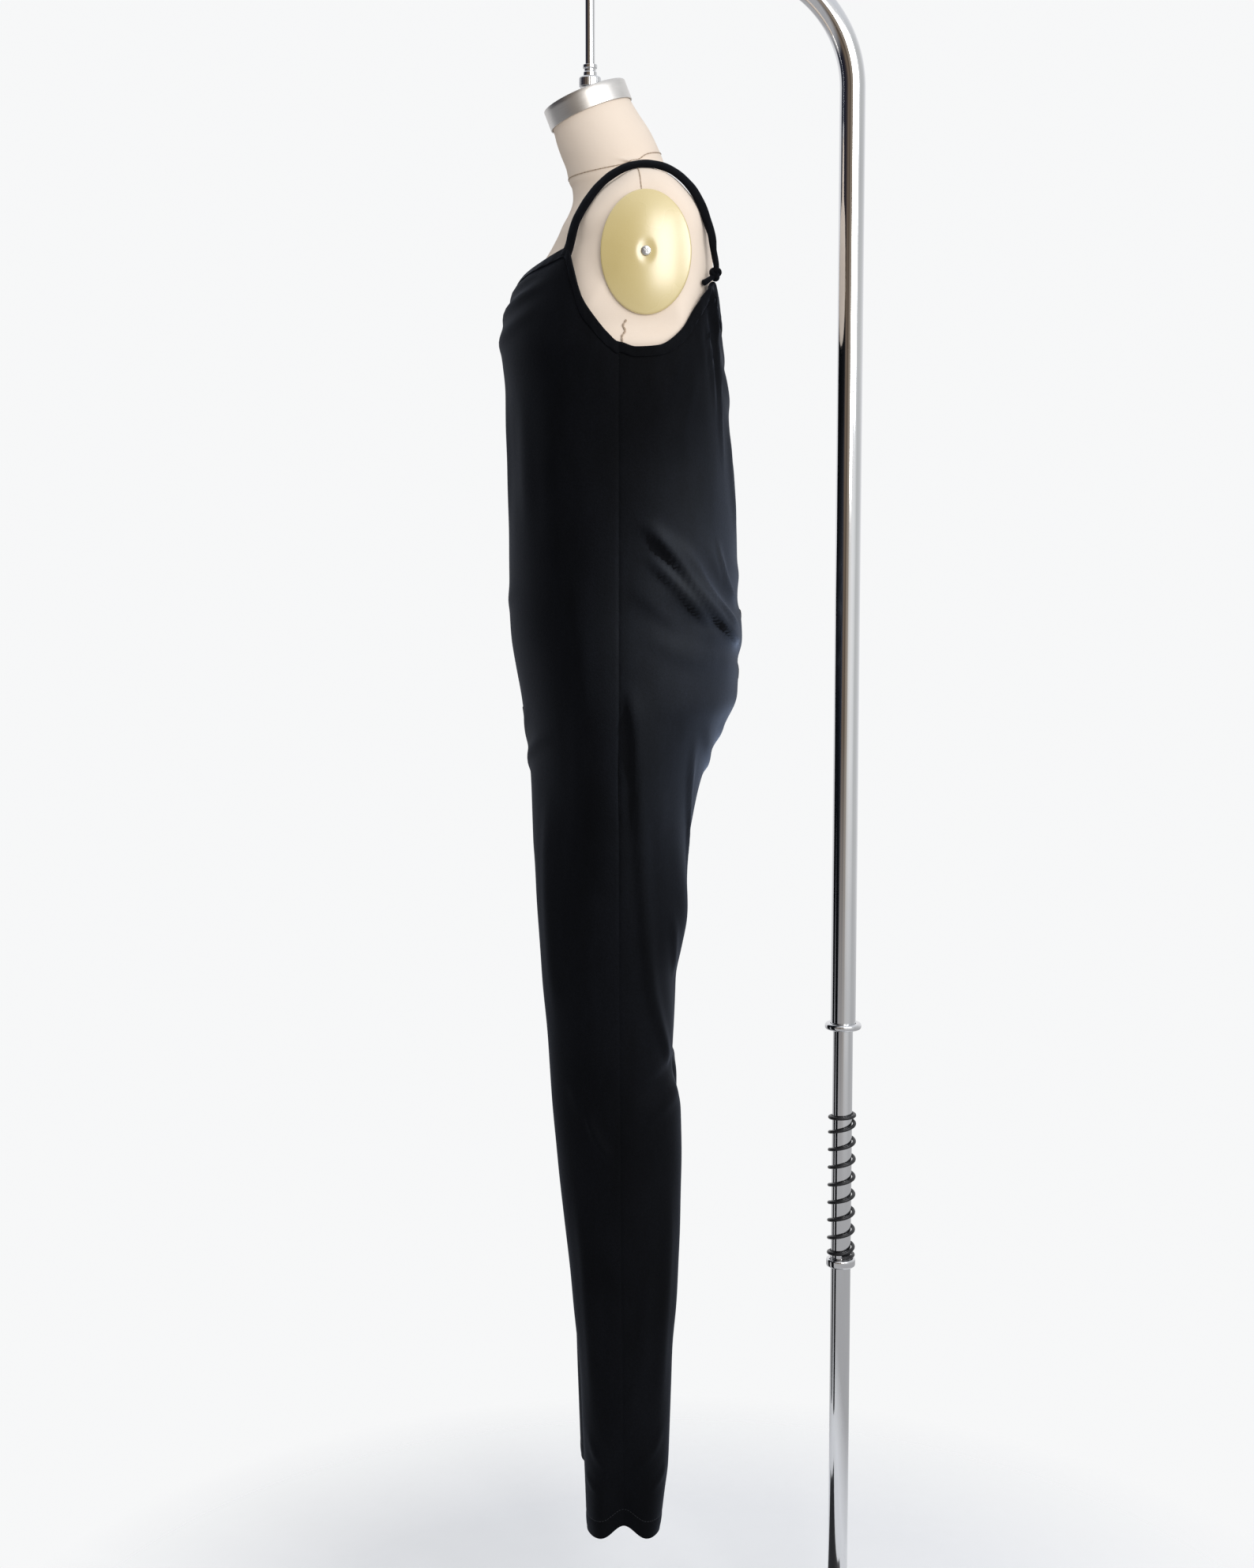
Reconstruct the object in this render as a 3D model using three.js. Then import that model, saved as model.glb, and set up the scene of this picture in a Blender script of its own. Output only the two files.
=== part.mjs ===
// Sleeveless velvet jumpsuit on a limbless dress form that hangs from a telescopic stand.
// Millimetres, +Z up. The garment faces -Y and the wearer's left side is +X.
import * as THREE from 'three';

// ---------------------------------------------------------------- driving sizes
const WALL = 1.8; // velvet and its knit backing
const HALF_GAP = 0.15; // half of the space left at a seam
const BAND_WALL = 1.2;
const BAND_CLEAR = 0.5;
const BAND_WIDTH = 8;
const HEM_Z = 219;
const HEM_TURN = 20;
const HEM_NOTCH = 12; // how far the hem rides up at the side seam
const HEM_DENT = 19; // how far the side seam falls in at the hem
const CROTCH_Z = 985;
const FRONT_RISE = 130; // height over which the front crotch curve turns in
const BACK_RISE = 150;
const RIGHT_SWING = 10; // the right leg hangs a little further forward
const RIGHT_LIFT = 12;
const STRAP_WIDTH = 11;
const STRAP_WALL = 4.7;
const YOKE_Z = 1480; // rows above this follow the neckline and armholes

const POLE_Y = 191;
const POLE_R = 11.2;
const POLE_BORE = 9.4;
const POLE_TOP = 1320;
const TUBE_R = 14;
const TUBE_BORE = 11.8;
const TUBE_FOOT = 770;
const BEND_Z = 1800;
const BEND_R = 134;
const ARM_END_Y = -128;
const ROD_Y = -93.5;
const ROD_R = 5.3;
const BASE = { width: 460, depth: 560, thick: 8, corner: 45 };
const SPRING = { foot: 502, top: 668, coil: 14, wire: 2, turns: 9.5 };

const velvet = new THREE.MeshStandardMaterial({ color: 0x0c0d11, roughness: 0.8, side: THREE.DoubleSide });
const linen = new THREE.MeshStandardMaterial({ color: 0xe6d8c8, roughness: 0.9 });
const steel = new THREE.MeshStandardMaterial({ color: 0xc4c0ba, metalness: 0.9, roughness: 0.35 });
const chrome = new THREE.MeshStandardMaterial({ color: 0xd8dade, metalness: 1, roughness: 0.12 });
const cream = new THREE.MeshStandardMaterial({ color: 0xd4c292, roughness: 0.35 });
const iron = new THREE.MeshStandardMaterial({ color: 0x191a1c, metalness: 0.6, roughness: 0.45 });

// ---------------------------------------------------------------- small helpers
const smooth = (t) => {
  const c = Math.min(1, Math.max(0, t));
  return c * c * (3 - 2 * c);
};
const bell = (t) => Math.exp(-t * t);
const lerp = (a, b, t) => a + (b - a) * t;

// A smooth curve through rows of [position, value, value, ...] without overshoot.
function curve(rows) {
  const slope = (i, k) => {
    if (i === 0 || i === rows.length - 1) return 0;
    const a = (rows[i][k] - rows[i - 1][k]) / (rows[i][0] - rows[i - 1][0]);
    const b = (rows[i + 1][k] - rows[i][k]) / (rows[i + 1][0] - rows[i][0]);
    return a * b <= 0 ? 0 : (2 * a * b) / (a + b);
  };
  return (x) => {
    let i = 0;
    while (i < rows.length - 2 && x > rows[i + 1][0]) i += 1;
    const h = rows[i + 1][0] - rows[i][0];
    const t = Math.min(1, Math.max(0, (x - rows[i][0]) / h));
    const value = (k) => {
      const [a, b] = [rows[i][k], rows[i + 1][k]];
      const rise = (t ** 3 - 2 * t * t + t) * h * slope(i, k);
      const fall = (t ** 3 - t * t) * h * slope(i + 1, k);
      return lerp(a, b, t * t * (3 - 2 * t)) + rise + fall;
    };
    return rows[i].slice(1).map((_, k) => value(k + 1));
  };
}

// Point of a rounded box-like oval at an angle from its depth axis: [along width, along depth].
function oval(depth, width, fullness, angle) {
  const s = Math.sin(angle);
  const c = Math.cos(angle);
  const sum = (Math.abs(s) / width) ** fullness + (Math.abs(c) / depth) ** fullness;
  const r = sum ** (-1 / fullness);
  return [r * s, r * c];
}

const group = new THREE.Group();

// Turns a closed surface's triangles so that they all face out of its volume.
function facingOut(points, faces) {
  const volume = faces.reduce((sum, [a, b, c]) => {
    const [p, q, r] = [points[a], points[b], points[c]];
    return sum + p[0] * (q[1] * r[2] - q[2] * r[1]) + p[1] * (q[2] * r[0] - q[0] * r[2])
      + p[2] * (q[0] * r[1] - q[1] * r[0]);
  }, 0);
  return volume > 0 ? faces : faces.map(([a, b, c]) => [a, c, b]);
}

function addSolid(name, { points, faces }, material) {
  const geometry = new THREE.BufferGeometry();
  geometry.setAttribute('position', new THREE.Float32BufferAttribute(points.flat(), 3));
  geometry.setIndex(facingOut(points, faces).flat());
  geometry.computeVertexNormals();
  const mesh = new THREE.Mesh(geometry, material);
  mesh.name = name;
  group.add(mesh);
}

// Adds a solid on the left and, mirrored across X = 0, its partner on the right.
function addPair(name, build, material) {
  for (const side of [1, -1]) {
    const { points, faces } = build(side);
    const placed = points.map(([x, y, z]) => [side * x, y, z]);
    addSolid(`${name}_${side > 0 ? 'left' : 'right'}`, { points: placed, faces }, material);
  }
}

// Solid through equal loops of points; the end loops are capped.
function loft(loops) {
  const n = loops[0].length;
  const points = loops.flat();
  const faces = [];
  for (let i = 0; i + 1 < loops.length; i += 1) {
    for (let j = 0; j < n; j += 1) {
      const a = i * n + j;
      const b = i * n + ((j + 1) % n);
      faces.push([a, b, b + n], [a, b + n, a + n]);
    }
  }
  for (const end of [0, loops.length - 1]) {
    const loop = loops[end];
    const middle = [0, 1, 2].map((k) => loop.reduce((sum, p) => sum + p[k], 0) / n);
    const centre = points.push(middle) - 1;
    for (let j = 0; j < n; j += 1) {
      const a = end * n + j;
      const b = end * n + ((j + 1) % n);
      faces.push(end === 0 ? [centre, b, a] : [centre, a, b]);
    }
  }
  return { points, faces };
}

// Wall between an outer and an inner grid of points, closed along its four edges.
function wall(outer, inner) {
  const rows = outer.length;
  const cols = outer[0].length;
  const points = [...outer.flat(), ...inner.flat()];
  const o = (i, j) => i * cols + j;
  const n = (i, j) => rows * cols + i * cols + j;
  const faces = [];
  const quad = (a, b, c, d) => faces.push([a, b, c], [a, c, d]);
  for (let i = 0; i + 1 < rows; i += 1) {
    for (let j = 0; j + 1 < cols; j += 1) {
      quad(o(i, j), o(i, j + 1), o(i + 1, j + 1), o(i + 1, j));
      quad(n(i, j), n(i + 1, j), n(i + 1, j + 1), n(i, j + 1));
    }
  }
  for (let i = 0; i + 1 < rows; i += 1) {
    quad(o(i, 0), o(i + 1, 0), n(i + 1, 0), n(i, 0));
    quad(o(i, cols - 1), n(i, cols - 1), n(i + 1, cols - 1), o(i + 1, cols - 1));
  }
  for (let j = 0; j + 1 < cols; j += 1) {
    quad(o(0, j), n(0, j), n(0, j + 1), o(0, j + 1));
    quad(o(rows - 1, j), o(rows - 1, j + 1), n(rows - 1, j + 1), n(rows - 1, j));
  }
  return { points, faces };
}

function circle(radius, sides, place) {
  return Array.from({ length: sides }, (_, k) => {
    const a = (2 * Math.PI * k) / sides;
    return place(radius * Math.cos(a), radius * Math.sin(a));
  });
}

// Upright turned piece from [radius, height] steps about the axis through (0, y).
const turned = (steps, y, sides) =>
  loft(steps.map(([r, z]) => circle(r, sides, (a, b) => [a, y + b, z])));

// Solid through equal loops of points whose last loop joins the first again.
function closedRound(loops) {
  const n = loops[0].length;
  const faces = loops.flatMap((loop, i) => {
    const next = ((i + 1) % loops.length) * n;
    return loop.flatMap((_, j) => {
      const k = (j + 1) % n;
      return [[i * n + j, next + j, next + k], [i * n + j, next + k, i * n + k]];
    });
  });
  return { points: loops.flat(), faces };
}

// Ring-shaped piece: a closed [radius, height] outline carried round the axis through (0, y).
const ringPiece = (outline, y, sides) =>
  closedRound(outline.map(([r, z]) => circle(r, sides, (a, b) => [a, y + b, z])));
const sleeve = (bore, radius, foot, top) => [[bore, foot], [radius, foot], [radius, top], [bore, top]];

// ---------------------------------------------------------------- the garment's shape
// height, front, back, half width, front fullness, back fullness
const bodice = curve([
  [940, -153.5, 11, 164, 2.15, 2.15],
  [985, -157.5, 14.5, 166, 2.15, 2.15],
  [1011, -159, 20, 168.5, 2.15, 2.15],
  [1046, -161, 29, 171, 2.15, 2.15],
  [1080, -163.5, 40.5, 173.5, 2.15, 2.2],
  [1114, -166.5, 56, 175.5, 2.2, 2.2],
  [1143, -170.5, 66.5, 176.5, 2.2, 2.25],
  [1178, -176.5, 66.5, 175, 2.2, 2.3],
  [1213, -181.5, 71, 171.5, 2.25, 2.3],
  [1240, -183, 68.5, 168, 2.25, 2.4],
  [1317, -183, 67, 163, 2.3, 2.4],
  [1387, -183.5, 63, 163, 2.3, 2.4],
  [1437, -184.5, 58, 166, 2.3, 2.5],
  [1473, -185.5, 55, 169, 2.35, 2.6],
  [1508, -189.5, 50.5, 170, 2.35, 2.8],
  [1524, -191, 47.5, 165.5, 2.35, 3.0],
  [1541, -189, 47.5, 160.5, 2.35, 3.1],
  [1575, -177.5, 48, 152.5, 2.35, 3.5],
  [1592, -167.5, 47.5, 150, 2.35, 3.6],
  [1609, -152, 46, 148, 2.35, 3.6],
  [1630, -133, 43, 146, 2.35, 3.6],
]);
// height, front, back, middle across, half width
const leg = curve([
  [190, -95.5, -21, 85, 45],
  [228, -98.6, -15.5, 85, 45.5],
  [265, -100, -11, 85, 46.5],
  [292, -101, -7.7, 85, 47.5],
  [338, -103, -6, 85, 49],
  [384, -105, -4.4, 84.5, 50],
  [429, -108, -2.7, 84.5, 51.5],
  [474, -113, 0.7, 84, 53],
  [519, -117, 3.2, 84, 54.5],
  [564, -122, 4.9, 84, 56],
  [608, -126.5, 5.6, 84, 57.5],
  [653, -131, 6.4, 84, 59],
  [697, -135, 5.4, 84, 61],
  [741, -138, -4.2, 84, 64],
  [785, -140.6, -3.5, 83.5, 67],
  [838, -145.6, -3.6, 83, 71],
  [873, -148, 2, 83, 73.5],
  [916, -151, 9.5, 83, 77],
  [977, -155.5, 12.5, 83, 81.7],
  [985, -156.5, 14, 83, 82.85],
  [1140, -160, 30, 83, 82.85],
]);
// height, side seam, inseam
const seams = curve([
  [210, -57, -57],
  [600, -60, -60],
  [985, -62, -66],
  [1630, -62, -66],
]);
// angle round the bodice from its middle, edge height
const frontNeck = curve([[0, 1590], [22, 1593], [45, 1601], [58, 1608], [67, 1613]]);
const frontArm = curve([[67, 1613], [71, 1592], [75.8, 1559], [81, 1539], [86.5, 1521], [90, 1513]]);
const backArm = curve([[47.7, 1580], [51.3, 1575], [57.8, 1558], [66.7, 1527], [76.5, 1509.5],
  [84.3, 1508], [90, 1513]]);
const backNeck = curve([[0, 1535], [9, 1535.5], [22, 1540], [36, 1553], [43, 1568], [47.7, 1580]]);

// Columns of a panel, from its centre seam and inseam (0) to its side seam (1).
const faces = {
  front: { sign: -1, peak: 0.8175, columns: [0, 0.16, 0.3, 0.42, 0.53, 0.63, 0.73, 0.8175, 0.86, 0.9, 0.95, 1] },
  back: { sign: 1, peak: 0.659, columns: [0, 0.14, 0.27, 0.38, 0.48, 0.57, 0.659, 0.74, 0.81, 0.87, 0.93, 1] },
};
const ROWS = [275, 325, 380, 440, 500, 560, 620, 665, 697, 741, 785, 838, 880, 925, 960, 985, 989,
  997, 1010, 1030, 1055, 1080, 1105, 1131, 1155, 1185, 1213, 1240, 1290, 1350, 1420, YOKE_Z];
const YOKE_ROWS = [0.25, 0.5, 0.75];

// Angle round the bodice for a column, so that bodice and leg columns keep to the same width.
const bodiceAngle = (u) => Math.asin(Math.sin((Math.PI * u) / 2) ** 2);

function edgeHeight(face, u) {
  const degrees = (bodiceAngle(u) * 180) / Math.PI;
  if (face.sign < 0) return (u <= face.peak ? frontNeck : frontArm)(degrees)[0];
  return (u <= face.peak ? backNeck : backArm)(degrees)[0];
}

// Largest folds: how far the cloth stands out of its plain shape.
function fold(face, u, z) {
  if (face.sign < 0) return 0;
  const drag = lerp(1262, 1200, smooth((1 - u) / 0.8));
  const blouse = 3.5 * bell((z - drag) / 17) * smooth(u / 0.25) * smooth((1 - u) / 0.2);
  const thighLine = lerp(0.95, 0.3, smooth((1150 - z) / 440));
  const thigh = 4 * bell((u - thighLine) / 0.1) * smooth((1120 - z) / 120) * smooth((z - 600) / 130);
  return blouse + thigh;
}

// Outer surface of the left half of the garment.
function skin(face, u, z, side) {
  const [front, back, width, frontFull, backFull] = bodice(z);
  const [sideSeam, inseam] = seams(z);
  const depth = Math.abs((face.sign < 0 ? front : back) - sideSeam);
  const full = face.sign < 0 ? frontFull : backFull;
  const [bx, by] = oval(depth, width, full, bodiceAngle(u));
  let x = bx + HALF_GAP;
  let y = sideSeam + face.sign * by;
  const rise = face.sign < 0 ? FRONT_RISE : BACK_RISE;
  const up = Math.min(1, Math.max(0, (z - CROTCH_Z) / rise));
  const atMiddle = 1 - Math.sqrt(1 - (1 - up) ** 2);
  const atSide = 1 - smooth((z - CROTCH_Z + 100) / 250);
  const legShare = lerp(atMiddle, atSide, smooth(u / 0.45));
  if (legShare > 0) {
    const [legFront, legBack, middle, half] = leg(z);
    const seam = lerp(inseam, sideSeam, u);
    const legDepth = Math.abs((face.sign < 0 ? legFront : legBack) - seam);
    const [lx, ly] = oval(legDepth, half, 2.1, Math.PI * (u - 0.5));
    x = lerp(x, middle + lx, legShare);
    y = lerp(y, seam + face.sign * ly, legShare);
  }
  const low = smooth((370 - z) / 150);
  x -= HEM_DENT * bell((1 - u) / 0.14) * low;
  const swing = side < 0 ? smooth((820 - z) / 560) : 0;
  const out = fold(face, u, z);
  const angle = legShare > 0.5 ? Math.PI * (u - 0.5) : bodiceAngle(u);
  x += out * Math.sin(angle);
  y += face.sign * (HALF_GAP + out * Math.cos(angle)) - RIGHT_SWING * swing;
  return [x, y, z + RIGHT_LIFT * swing];
}

// How much longer a band's width is along a column where the edge climbs steeply.
function edgeStretch(face, side, u) {
  const [a, b] = [Math.max(0, u - 0.02), Math.min(1, u + 0.02)].map((v) =>
    skin(face, v, edgeHeight(face, v), side));
  return Math.min(1.8, Math.hypot(1, (b[2] - a[2]) / Math.hypot(b[0] - a[0], b[1] - a[1])));
}

// Rows from the hem up: hem edge, top of the turned hem, leg and bodice rows, lower edge of the
// binding, top edge.
function panelGrid(face, side) {
  const hem = (u) => HEM_Z + HEM_NOTCH * bell((1 - u) / 0.11);
  const bandFoot = (u) => edgeHeight(face, u) - BAND_WIDTH * edgeStretch(face, side, u);
  const line = (height) => face.columns.map((u) => skin(face, u, height(u), side));
  return [
    line(hem),
    line((u) => hem(u) + HEM_TURN),
    ...ROWS.map((z) => line(() => z)),
    ...YOKE_ROWS.map((share) => line((u) => lerp(YOKE_Z, bandFoot(u), share))),
    line(bandFoot),
    line((u) => edgeHeight(face, u)),
  ];
}

// Unit normals of a grid of points, pointing out of the garment. Along a seam they keep to the
// panel's own side, so the wall behind the seam doesn't cross into the next panel.
function gridNormals(grid, sign) {
  const v = (p) => new THREE.Vector3(...p);
  return grid.map((row, i) => row.map((point, j) => {
    const up = v(grid[Math.min(i + 1, grid.length - 1)][j]).sub(v(grid[Math.max(i - 1, 0)][j]));
    const across = v(row[Math.min(j + 1, row.length - 1)]).sub(v(row[Math.max(j - 1, 0)]));
    const normal = across.cross(up).multiplyScalar(-sign).normalize();
    const middleSeam = j === 0 && point[2] > CROTCH_Z;
    const sideOrInseam = j === row.length - 1 || (j === 0 && point[2] <= CROTCH_Z + 1);
    if (sideOrInseam && sign * normal.y > 0) normal.y = 0;
    if (middleSeam && normal.x > 0) normal.x = 0;
    return normal.normalize().toArray();
  }));
}

const moved = (p, n, d) => p.map((value, k) => value + n[k] * d);
const offsetGrid = (grid, normals, d) => grid.map((row, i) => row.map((p, j) => moved(p, normals[i][j], d)));

function panel(face, side) {
  const outer = panelGrid(face, side);
  return wall(outer, offsetGrid(outer, gridNormals(outer, face.sign), -WALL));
}

// Stations of a folded band over the panel's top edge, one for each column that is kept.
function bandStations(face, side, keep) {
  const grid = panelGrid(face, side);
  const normals = gridNormals(grid, face.sign);
  const last = grid.length - 1;
  return face.columns.flatMap((u, j) => {
    const at = (out, down) => {
      const a = moved(grid[last][j], normals[last][j], out);
      const b = moved(grid[last - 1][j], normals[last - 1][j], out);
      return a.map((value, k) => lerp(value, b[k], down / BAND_WIDTH));
    };
    return keep(u) ? [{ u, at }] : [];
  });
}

const BAND_OUT = BAND_CLEAR + BAND_WALL;
const BAND_IN = -(WALL + BAND_OUT);
const BAND_PROFILE = [
  [BAND_OUT, -BAND_OUT], [BAND_OUT, BAND_WIDTH], [BAND_CLEAR, BAND_WIDTH], [BAND_CLEAR, -BAND_CLEAR],
  [BAND_IN + BAND_WALL, -BAND_CLEAR], [BAND_IN + BAND_WALL, BAND_WIDTH], [BAND_IN, BAND_WIDTH],
  [BAND_IN, -BAND_OUT],
];

// The U-shaped band carried through its stations, with flat ends. Each leg of the U is split along
// the same diagonals as the panel behind it.
function band(stations) {
  const m = BAND_PROFILE.length;
  const points = stations.flatMap(({ at }) => BAND_PROFILE.map(([out, down]) => at(out, down)));
  const faces = [];
  for (let i = 0; i + 1 < stations.length; i += 1) {
    const rising = stations[i + 1].u > stations[i].u;
    for (let j = 0; j < m; j += 1) {
      const [a, b] = [i * m + j, i * m + ((j + 1) % m)];
      if (rising === (j % 4 === 0)) faces.push([a, a + m, b], [b, a + m, b + m]);
      else faces.push([a, a + m, b + m], [a, b + m, b]);
    }
  }
  const outline = BAND_PROFILE.map(([a, b]) => new THREE.Vector2(a, b));
  const area = THREE.ShapeUtils.area;
  const end = (stations.length - 1) * m;
  for (const cap of THREE.ShapeUtils.triangulateShape(outline, [])) {
    const same = area(cap.map((k) => outline[k])) * area(outline) > 0;
    const [a, b, c] = same ? cap : [cap[0], cap[2], cap[1]];
    faces.push([a, b, c], [end + a, end + c, end + b]);
  }
  return { points, faces };
}

// Moves the first or last station along the band so that neighbouring bands stay apart.
function trimmed(stations, atStart, gap) {
  const list = stations.slice();
  const index = atStart ? 0 : list.length - 1;
  const next = list[atStart ? 1 : index - 1];
  const end = list[index];
  const length = Math.hypot(...end.at(0, 0).map((value, k) => value - next.at(0, 0)[k]));
  const share = gap / length;
  const at = (o, d) => end.at(o, d).map((value, k) => lerp(value, next.at(o, d)[k], share));
  list[index] = { u: end.u, at };
  return list;
}

// ---------------------------------------------------------------- cloth pieces
addPair('panel_front', (side) => panel(faces.front, side), velvet);
addPair('panel_back', (side) => panel(faces.back, side), velvet);

addPair('armhole_binding', (side) => {
  const front = bandStations(faces.front, side, (u) => u >= faces.front.peak);
  const back = bandStations(faces.back, side, (u) => u >= faces.back.peak && u < 1).reverse();
  return band(trimmed(trimmed([...front, ...back], true, 0.4), false, 0.4));
}, velvet);

const acrossMiddle = (face) => {
  const right = bandStations(face, -1, (u) => u <= face.peak && u > 0).reverse();
  const mirrored = right.map(({ u, at }) => ({ u, at: (o, d) => at(o, d).map((v, k) => (k ? v : -v)) }));
  const left = bandStations(face, 1, (u) => u <= face.peak && u > 0);
  const list = trimmed(trimmed([...mirrored, ...left], true, 0.4), false, 0.4);
  return band(list);
};
for (const [name, face] of Object.entries(faces)) {
  addSolid(`neckline_binding_${name}`, acrossMiddle(face), velvet);
}

// Turned-up hem inside each leg opening, made from the panels' lowest rows.
addPair('hem_turning', (side) => {
  const strip = (face) => {
    const grid = panelGrid(face, side);
    const normals = gridNormals(grid, face.sign);
    const behind = (i, j, gap) => moved(grid[i][j], normals[i][j], -(WALL + gap));
    return face.columns.map((_, j) =>
      [behind(0, j, BAND_CLEAR), behind(1, j, BAND_CLEAR), behind(1, j, BAND_OUT), behind(0, j, BAND_OUT)]);
  };
  return closedRound([...strip(faces.front), ...strip(faces.back).slice(1, -1).reverse()]);
}, velvet);

// Strap: from the front peak over the shoulder to the knot at the back peak.
const strapLine = new THREE.CatmullRomCurve3([
  [124.2, -112.8, 1618], [117.5, -105, 1645.5], [107.5, -84.5, 1678], [101.5, -61, 1697], [99.5, -36, 1704],
  [102, -9.5, 1698], [107, 11.5, 1680.5], [112, 25, 1657], [114.5, 34, 1629], [112.5, 38.8, 1601.5],
].map((p) => new THREE.Vector3(...p)));
addPair('strap', () => {
  const count = 26;
  const loops = Array.from({ length: count + 1 }, (_, i) => {
    const p = strapLine.getPointAt(i / count);
    const along = strapLine.getTangentAt(i / count);
    const out = new THREE.Vector3(p.x - 32, p.y + 35, p.z - 1628);
    out.addScaledVector(along, -out.dot(along)).normalize();
    const across = new THREE.Vector3().crossVectors(along, out);
    const narrowing = 1 - 0.4 * smooth((i / count - 0.75) / 0.2); // it is gathered towards the knot
    const corners = [[-0.5, -0.25], [-0.4, -0.5], [0.4, -0.5], [0.5, -0.25], [0.5, 0.25], [0.4, 0.5],
      [-0.4, 0.5], [-0.5, 0.25]];
    return corners.map(([a, b]) => p.clone()
      .addScaledVector(across, a * STRAP_WIDTH * narrowing)
      .addScaledVector(out, b * STRAP_WALL).toArray());
  });
  return loft(loops);
}, velvet);

// Knot that ties the strap to the back peak, with its short loose end.
function bead(centre, radii, sides, steps) {
  const loops = Array.from({ length: steps }, (_, i) => {
    const a = (Math.PI * (i + 0.35)) / (steps - 0.3);
    const r = Math.sin(a);
    return circle(r, sides, (s, t) => [
      centre[0] + s * radii[0], centre[1] + t * radii[1], centre[2] - Math.cos(a) * radii[2],
    ]);
  });
  return loft(loops);
}
addPair('strap_knot', () => bead([111, 39, 1590], [6.6, 6.2, 8.2], 12, 7), velvet);
addPair('strap_tail', () => bead([120.5, 27.5, 1580], [3.4, 5.2, 3.2], 8, 5), velvet);

// ---------------------------------------------------------------- dress form
// height, middle, front, back, half width, fullness front, back, tilt, neck middle, neck depth, neck width
const form = curve([
  [1038, -52, -105, -15, 95, 2.2, 2.2, 0, -52, 20, 20],
  [1043, -52, -132, -5, 135, 2.2, 2.2, 0, -52, 20, 20],
  [1056, -52, -148, 8, 154, 2.2, 2.2, 0, -52, 20, 20],
  [1080, -52, -155, 26, 162, 2.2, 2.2, 0, -52, 20, 20],
  [1110, -52, -158, 43, 165.5, 2.2, 2.2, 0, -52, 20, 20],
  [1143, -52, -162, 56, 167, 2.2, 2.2, 0, -52, 20, 20],
  [1178, -52, -167, 55, 165, 2.2, 2.2, 0, -52, 20, 20],
  [1213, -52, -168, 50, 159, 2.2, 2.2, 0, -52, 20, 20],
  [1260, -52, -158, 38, 144, 2.2, 2.2, 0, -52, 20, 20],
  [1310, -52, -149, 30, 131, 2.2, 2.3, 0, -52, 20, 20],
  [1350, -52, -147, 28, 127, 2.2, 2.3, 0, -52, 20, 20],
  [1400, -52, -156, 33, 133, 2.2, 2.4, 0, -52, 20, 20],
  [1450, -50, -173, 39, 146, 2.25, 2.5, 0, -52, 20, 20],
  [1500, -48, -182, 42, 158, 2.3, 2.7, 0, -50, 20, 20],
  [1525, -46, -182.5, 41, 157, 2.3, 2.9, 0, -50, 20, 20],
  [1558, -43, -175, 40, 150, 2.3, 3.1, 0, -50, 30, 30],
  [1590, -40, -159, 39.5, 144.5, 2.3, 3.3, 0, -50, 45, 40],
  [1620, -38, -139, 38, 142, 2.3, 3.5, 0, -50, 58, 50],
  [1651, -38, -118, 31, 138, 2.8, 4.2, 0, -51, 66, 56],
  [1665, -38, -106, 23, 135, 2.8, 4.2, 0, -52, 62, 57],
  [1676, -38, -95, 14, 130, 2.7, 4.2, 0, -53, 59, 57],
  [1693, -38, -69, -2, 116, 2.5, 3.6, 0, -57, 56, 56],
  [1702, -38, -56, -18, 93, 2.4, 2.6, 2, -61, 55, 55],
  [1711, -42, -52, -28, 68, 2.3, 2.3, 5, -64, 53.5, 54.5],
  [1722, -68, -80, -50, 30, 2.2, 2.2, 8, -68, 52, 54],
  [1742, -77, -90, -60, 30, 2.2, 2.2, 14.5, -77, 50, 51],
  [1757, -85, -98, -70, 30, 2.2, 2.2, 18.5, -85, 47.2, 48],
  [1770, -91, -104, -80, 30, 2.2, 2.2, 21.5, -91, 45, 45],
  [1782, -95.7, -104, -80, 30, 2.2, 2.2, 21.5, -95.7, 44.6, 44.6],
]);
const FORM_ROWS = [1038, 1043, 1056, 1080, 1110, 1143, 1178, 1213, 1260, 1310, 1350, 1400, 1450, 1480, 1503,
  1520, 1538, 1558, 1575, 1590, 1605, 1620, 1636, 1651, 1665, 1676, 1685, 1693, 1702, 1711, 1722, 1742,
  1757, 1770, 1782];
const FORM_SIDES = 40;
const PLATE_LEAN = 0.05;
const plateFlat = (z) => 141.5 + (1604 - z) * PLATE_LEAN;
const sideLimit = (z) => (z > 1680 ? Infinity : plateFlat(z) + 60 * smooth((1539 - z) / 80));

function formPoint(z, angle) {
  const [middle, front, back, width, frontFull, backFull, tilt, neckMiddle, neckDepth, neckWidth] = form(z);
  const ahead = Math.cos(angle) < 0;
  const depth = Math.abs((ahead ? front : back) - middle);
  const [tx, ty] = oval(depth, width, ahead ? frontFull : backFull, angle);
  const body = Math.hypot(tx, ty);
  // the neck's oval, met by the same ray from the body's middle
  const [s, c] = [Math.sin(angle) / neckWidth, Math.cos(angle) / neckDepth];
  const shift = (neckMiddle - middle) / neckDepth;
  const [a, b, d] = [s * s + c * c, -2 * c * shift, shift * shift - 1];
  const root = b * b - 4 * a * d;
  const neck = root > 0 ? Math.max(0, (-b + Math.sqrt(root)) / (2 * a)) : 0;
  const r = (body ** 8 + neck ** 8) ** 0.125;
  const q = r * Math.cos(angle);
  const t = (tilt * Math.PI) / 180;
  const x = r * Math.sin(angle);
  return [Math.sign(x) * Math.min(Math.abs(x), sideLimit(z)), middle + q * Math.cos(t), z + q * Math.sin(t)];
}

{
  const loops = FORM_ROWS.map((z) => Array.from({ length: FORM_SIDES }, (_, k) =>
    formPoint(z, (2 * Math.PI * (k + 0.5)) / FORM_SIDES)));
  addSolid('form_torso', loft(loops), linen);
}

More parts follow.
